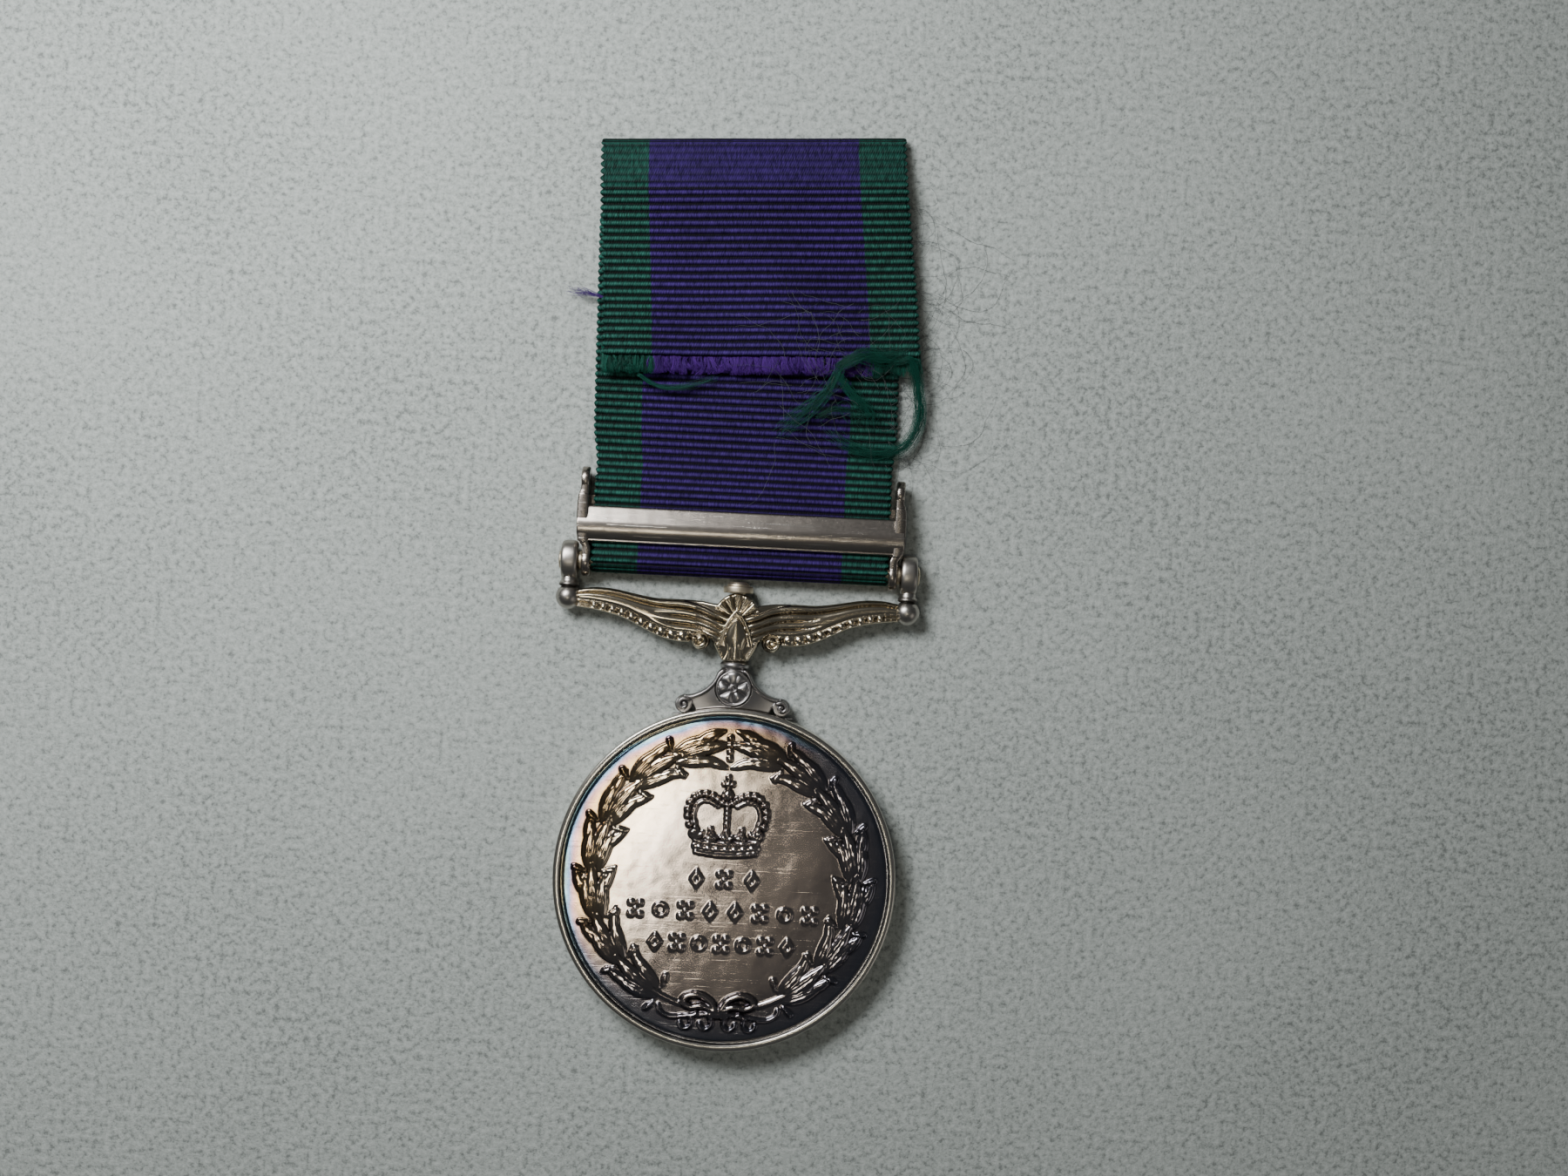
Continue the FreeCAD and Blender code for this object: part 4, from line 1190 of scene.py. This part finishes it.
def make_ribbon():
    """The folded strip: two ribbed faces that meet at rounded selvedges."""
    shape = RibbonShape()
    end = shape.total - 1.9
    count = int(end / RIB_PITCH) * ROWS_PER_RIB
    s = np.arange(count + 1) * RIB_PITCH / ROWS_PER_RIB
    left = -np.cos(np.linspace(0, math.pi / 2, 7))[:-1] * 0.09 - 0.91
    right = np.cos(np.linspace(math.pi / 2, 0, 7))[1:] * 0.09 + 0.91
    columns = np.concatenate([left, np.linspace(-0.91, 0.91, 25), right])
    wave = np.abs(np.sin(math.pi * s / RIB_PITCH)) ** 0.8
    starts = ease(s, shape.fold + 0.3, shape.fold + 1.2)
    flat_zone = starts * (1 - ease(s, shape.fold + 4.6, shape.fold + 6.2))
    rib = 0.16 * (1 - 0.7 * flat_zone)
    edge = np.sqrt(np.clip(1 - ((np.abs(columns) - 0.985) / 0.015).clip(0, 1) ** 2, 0, 1))
    thick = (0.085 + rib * wave)[:, None] * edge[None, :]
    u = columns[None, :] * ribbon_width(s)[:, None]
    along = np.repeat(s[:, None], len(columns), 1)
    upper = shape.place(u, along, thick)
    lower = shape.place(u, along, -thick)
    ring = np.concatenate([upper, lower[:, ::-1]], 1)
    rows, wide = ring.shape[:2]
    faces = [ring_quads(rows, wide), *end_caps(rows, wide)]
    # the rib attribute drives the silk's painted shade in the grooves and painted highlight on the crests,
    # with an even painted mid-tone over the flat zone just past the top fold
    depth = np.repeat((wave * (1 - 0.8 * flat_zone) + 0.68 * flat_zone)[:, None], wide, 1)
    ribbon = make_piece("ribbon_strip", ring.reshape(-1, 3), faces, "silk", "ribbon_and_clasp", "ribbon",
                        rib=depth)
    add_weave_map(ribbon, np.concatenate([u, u[:, ::-1]], 1).ravel(), np.repeat(s, wide))
    return ribbon, shape, end


def add_weave_map(piece, across, along):
    mesh = piece.data
    layer = mesh.uv_layers.new(name="weave")
    corner = np.empty(len(mesh.loops), dtype=np.int32)
    mesh.loops.foreach_get("vertex_index", corner)
    layer.data.foreach_set("uv", np.stack([across[corner], along[corner]], 1).astype(np.float32).ravel())


# ---- loose threads ----
def fibres(name, lines, radius, material):
    """Thin closed tubes along lines, all in one piece, in clumps that share most of their tone."""
    sides = 3
    points, faces, tones, offset = [], [], [], 0
    clump = rng.random()
    turn = np.linspace(0, 2 * math.pi, sides, endpoint=False)
    for line in lines:
        line = np.asarray(line, dtype=float)
        step = np.gradient(line, axis=0)
        step /= np.linalg.norm(step, axis=1, keepdims=True) + 1e-9
        across = np.cross(step, (0.0, 0.0, 1.0))
        across /= np.linalg.norm(across, axis=1, keepdims=True) + 1e-6
        up = np.cross(across, step)
        taper = radius * (1 - 0.5 * np.linspace(0, 1, len(line)) ** 3)[:, None, None]
        sideways = across[:, None] * np.cos(turn)[None, :, None]
        ring = line[:, None] + taper * (sideways + up[:, None] * np.sin(turn)[None, :, None])
        faces.append(ring_quads(len(line), sides) + offset)
        faces += [cap + offset for cap in end_caps(len(line), sides)]
        points.append(ring.reshape(-1, 3))
        if rng.random() < 1 / FIBRES_PER_CLUMP:
            clump = rng.random()
        tones.append(np.full(len(line) * sides, 0.7 * clump + 0.3 * rng.random()))
        offset += len(line) * sides
    return make_piece(name, np.concatenate(points), faces, material, "ribbon_and_clasp",
                      tone=np.concatenate(tones))


def frayed_ends(shape, end):
    """Warp threads standing out of the flap's cut end in small clumps, rolled over and a little tangled."""
    violet, green = [], []
    for _ in range(330):
        middle = rng.uniform(-1, 1) * RIBBON_HALF
        drift, curl, rise = rng.gauss(0.10, 0.40), rng.gauss(0, 0.22), rng.uniform(-0.16, 0.34)
        reach, back = rng.uniform(0.8, 1.7), rng.uniform(0.2, 1.5)
        for _ in range(FIBRES_PER_CLUMP):
            u = middle + rng.gauss(0, 0.09)
            swing, height = drift + rng.gauss(0, 0.16), rise + rng.gauss(0, 0.06)
            line = []
            for t in np.linspace(0, 1, 7):
                s = min(end - back + (reach + back) * t, shape.total)
                off = 0.12 + height * math.sin(3.1 * t)
                across = u + swing * t * t + curl * math.sin(3 * t)
                line.append(shape.place(across, s, -off))
            group = green if abs(u) > GREEN_FROM else violet
            group.append(np.array(line))
    return [fibres("frayed_violet", violet, 0.026, "violet"), fibres("frayed_green", green, 0.026, "green")]


def wandering(points, count, spread, wave, steps=36, start_spread=0.5):
    """A tow of fibres that follow one route loosely, close together at its start and loose at its end."""
    route = smooth_line(points, 12)
    at = np.linspace(0, len(route) - 1, steps)
    centre = np.stack([np.interp(at, np.arange(len(route)), route[:, k]) for k in range(3)], 1)
    t = np.linspace(0, 1, steps)[:, None]
    made = []
    for _ in range(count):
        away = np.array([rng.gauss(0, spread), rng.gauss(0, spread), rng.uniform(-0.35, 0.35)])
        swing = np.array([rng.gauss(0, wave), rng.gauss(0, wave), rng.gauss(0, wave * 0.4)])
        phase, speed = rng.uniform(0, 6.3), rng.uniform(1.5, 4.5)
        apart = away * (start_spread + (1 - start_spread) * t)
        line = centre + apart + swing * np.sin(speed * t * 3 + phase) * (0.3 + t)
        line[:, 2] = np.maximum(line[:, 2], 0.1)
        made.append(line[: max(8, int(steps * rng.uniform(0.62, 1.0)))])
    return made


def curly_hair(spot, turn, count, step, bend, floor):
    """A loose hair that starts at a place and curls at random over the surface below it."""
    line = []
    for _ in range(count):
        line.append(spot.copy())
        spot = spot + np.array([math.cos(turn) * step, math.sin(turn) * step, -0.05])
        spot[2] = max(spot[2], floor)
        turn += bend + rng.gauss(0, 0.16)
    return np.array(line)


def make_threads(shape, end):
    """Everything that has come loose from the ribbon."""
    pieces = frayed_ends(shape, end)
    routes = (  # the places a tow passes, how many fibres, how far they spread and how much they wave
        (((15.6, 55.2, 2.6), (17.0, 55.4, 2.7), (17.9, 52.6, 1.9), (18.2, 49.2, 1.3), (16.6, 46.3, 1.5),
          (13.4, 45.5, 1.6), (10.2, 46.6, 1.9), (7.7, 48.3, 1.9)), 120, 0.32, 0.40),
        (((9.6, 54.0, 2.9), (8.2, 51.4, 2.6), (5.6, 49.0, 2.1), (3.1, 47.0, 1.7)), 95, 0.50, 0.45),
        (((9.3, 53.6, 2.9), (11.0, 51.6, 2.5), (12.8, 50.0, 2.1), (13.4, 48.8, 1.9)), 60, 0.36, 0.34),
        (((7.4, 49.2, 2.2), (9.4, 50.0, 2.3), (11.4, 49.6, 2.2), (13.2, 49.2, 2.1)), 40, 0.36, 0.5),
        (((9.4, 54.4, 2.9), (11.6, 55.6, 3.0), (14.6, 55.6, 2.8), (16.8, 56.6, 2.7)), 120, 0.45, 0.34),
        (((-11.6, 52.6, 2.2), (-9.8, 51.6, 1.9), (-7.6, 51.4, 1.8), (-5.0, 52.1, 1.8),
          (-3.2, 52.8, 1.9)), 40, 0.17, 0.14),
    )
    tow = [line for points, count, spread, wave in routes for line in wandering(points, count, spread, wave)]
    pieces.append(fibres("green_tow", tow, 0.017, "green"))
    tuft_route = ((-15.6, 60.6, 1.6), (-17.2, 61.0, 1.3), (-18.6, 61.2, 1.0), (-20.0, 61.6, 0.9))
    tuft = wandering(tuft_route, 36, 0.24, 0.30, 18, 0.10)
    pieces.append(fibres("violet_tuft", tuft, 0.018, "violet"))
    hairs = []
    for _ in range(80):
        spot = np.array([rng.uniform(14.8, 16.6), rng.uniform(44, 72), 1.4])
        heading, count = rng.uniform(-1.3, 1.1), rng.randint(16, 60)
        hairs.append(curly_hair(spot, heading, count, 0.28, rng.gauss(0, 0.09), 0.06))
    for _ in range(45):
        spot = np.array([rng.uniform(3.0, 14.5), rng.uniform(46, 62), 3.0])
        heading, count = rng.uniform(0, 6.3), rng.randint(14, 40)
        hairs.append(curly_hair(spot, heading, count, 0.26, rng.gauss(0, 0.06), 2.4))
    pieces.append(fibres("stray_fibres", hairs, 0.018, "hair"))
    return pieces


# ---- build ----
def finish_cad_nodes():
    """The post's shank and the peg keep their CAD shape; they are almost wholly hidden."""
    for name, material in (("swivel_post", "rivet"), ("claw_peg", "claw")):
        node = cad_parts[name]
        node.data.materials.clear()
        node.data.materials.append(MATERIALS[material])


make_floor_and_lights()
make_disc()
make_claw()
make_swivel()
make_suspender()
make_rod()
make_clasp_sides()
make_clasp_bars()
strip, strip_shape, strip_end = make_ribbon()
loose = make_threads(strip_shape, strip_end)
finish_cad_nodes()
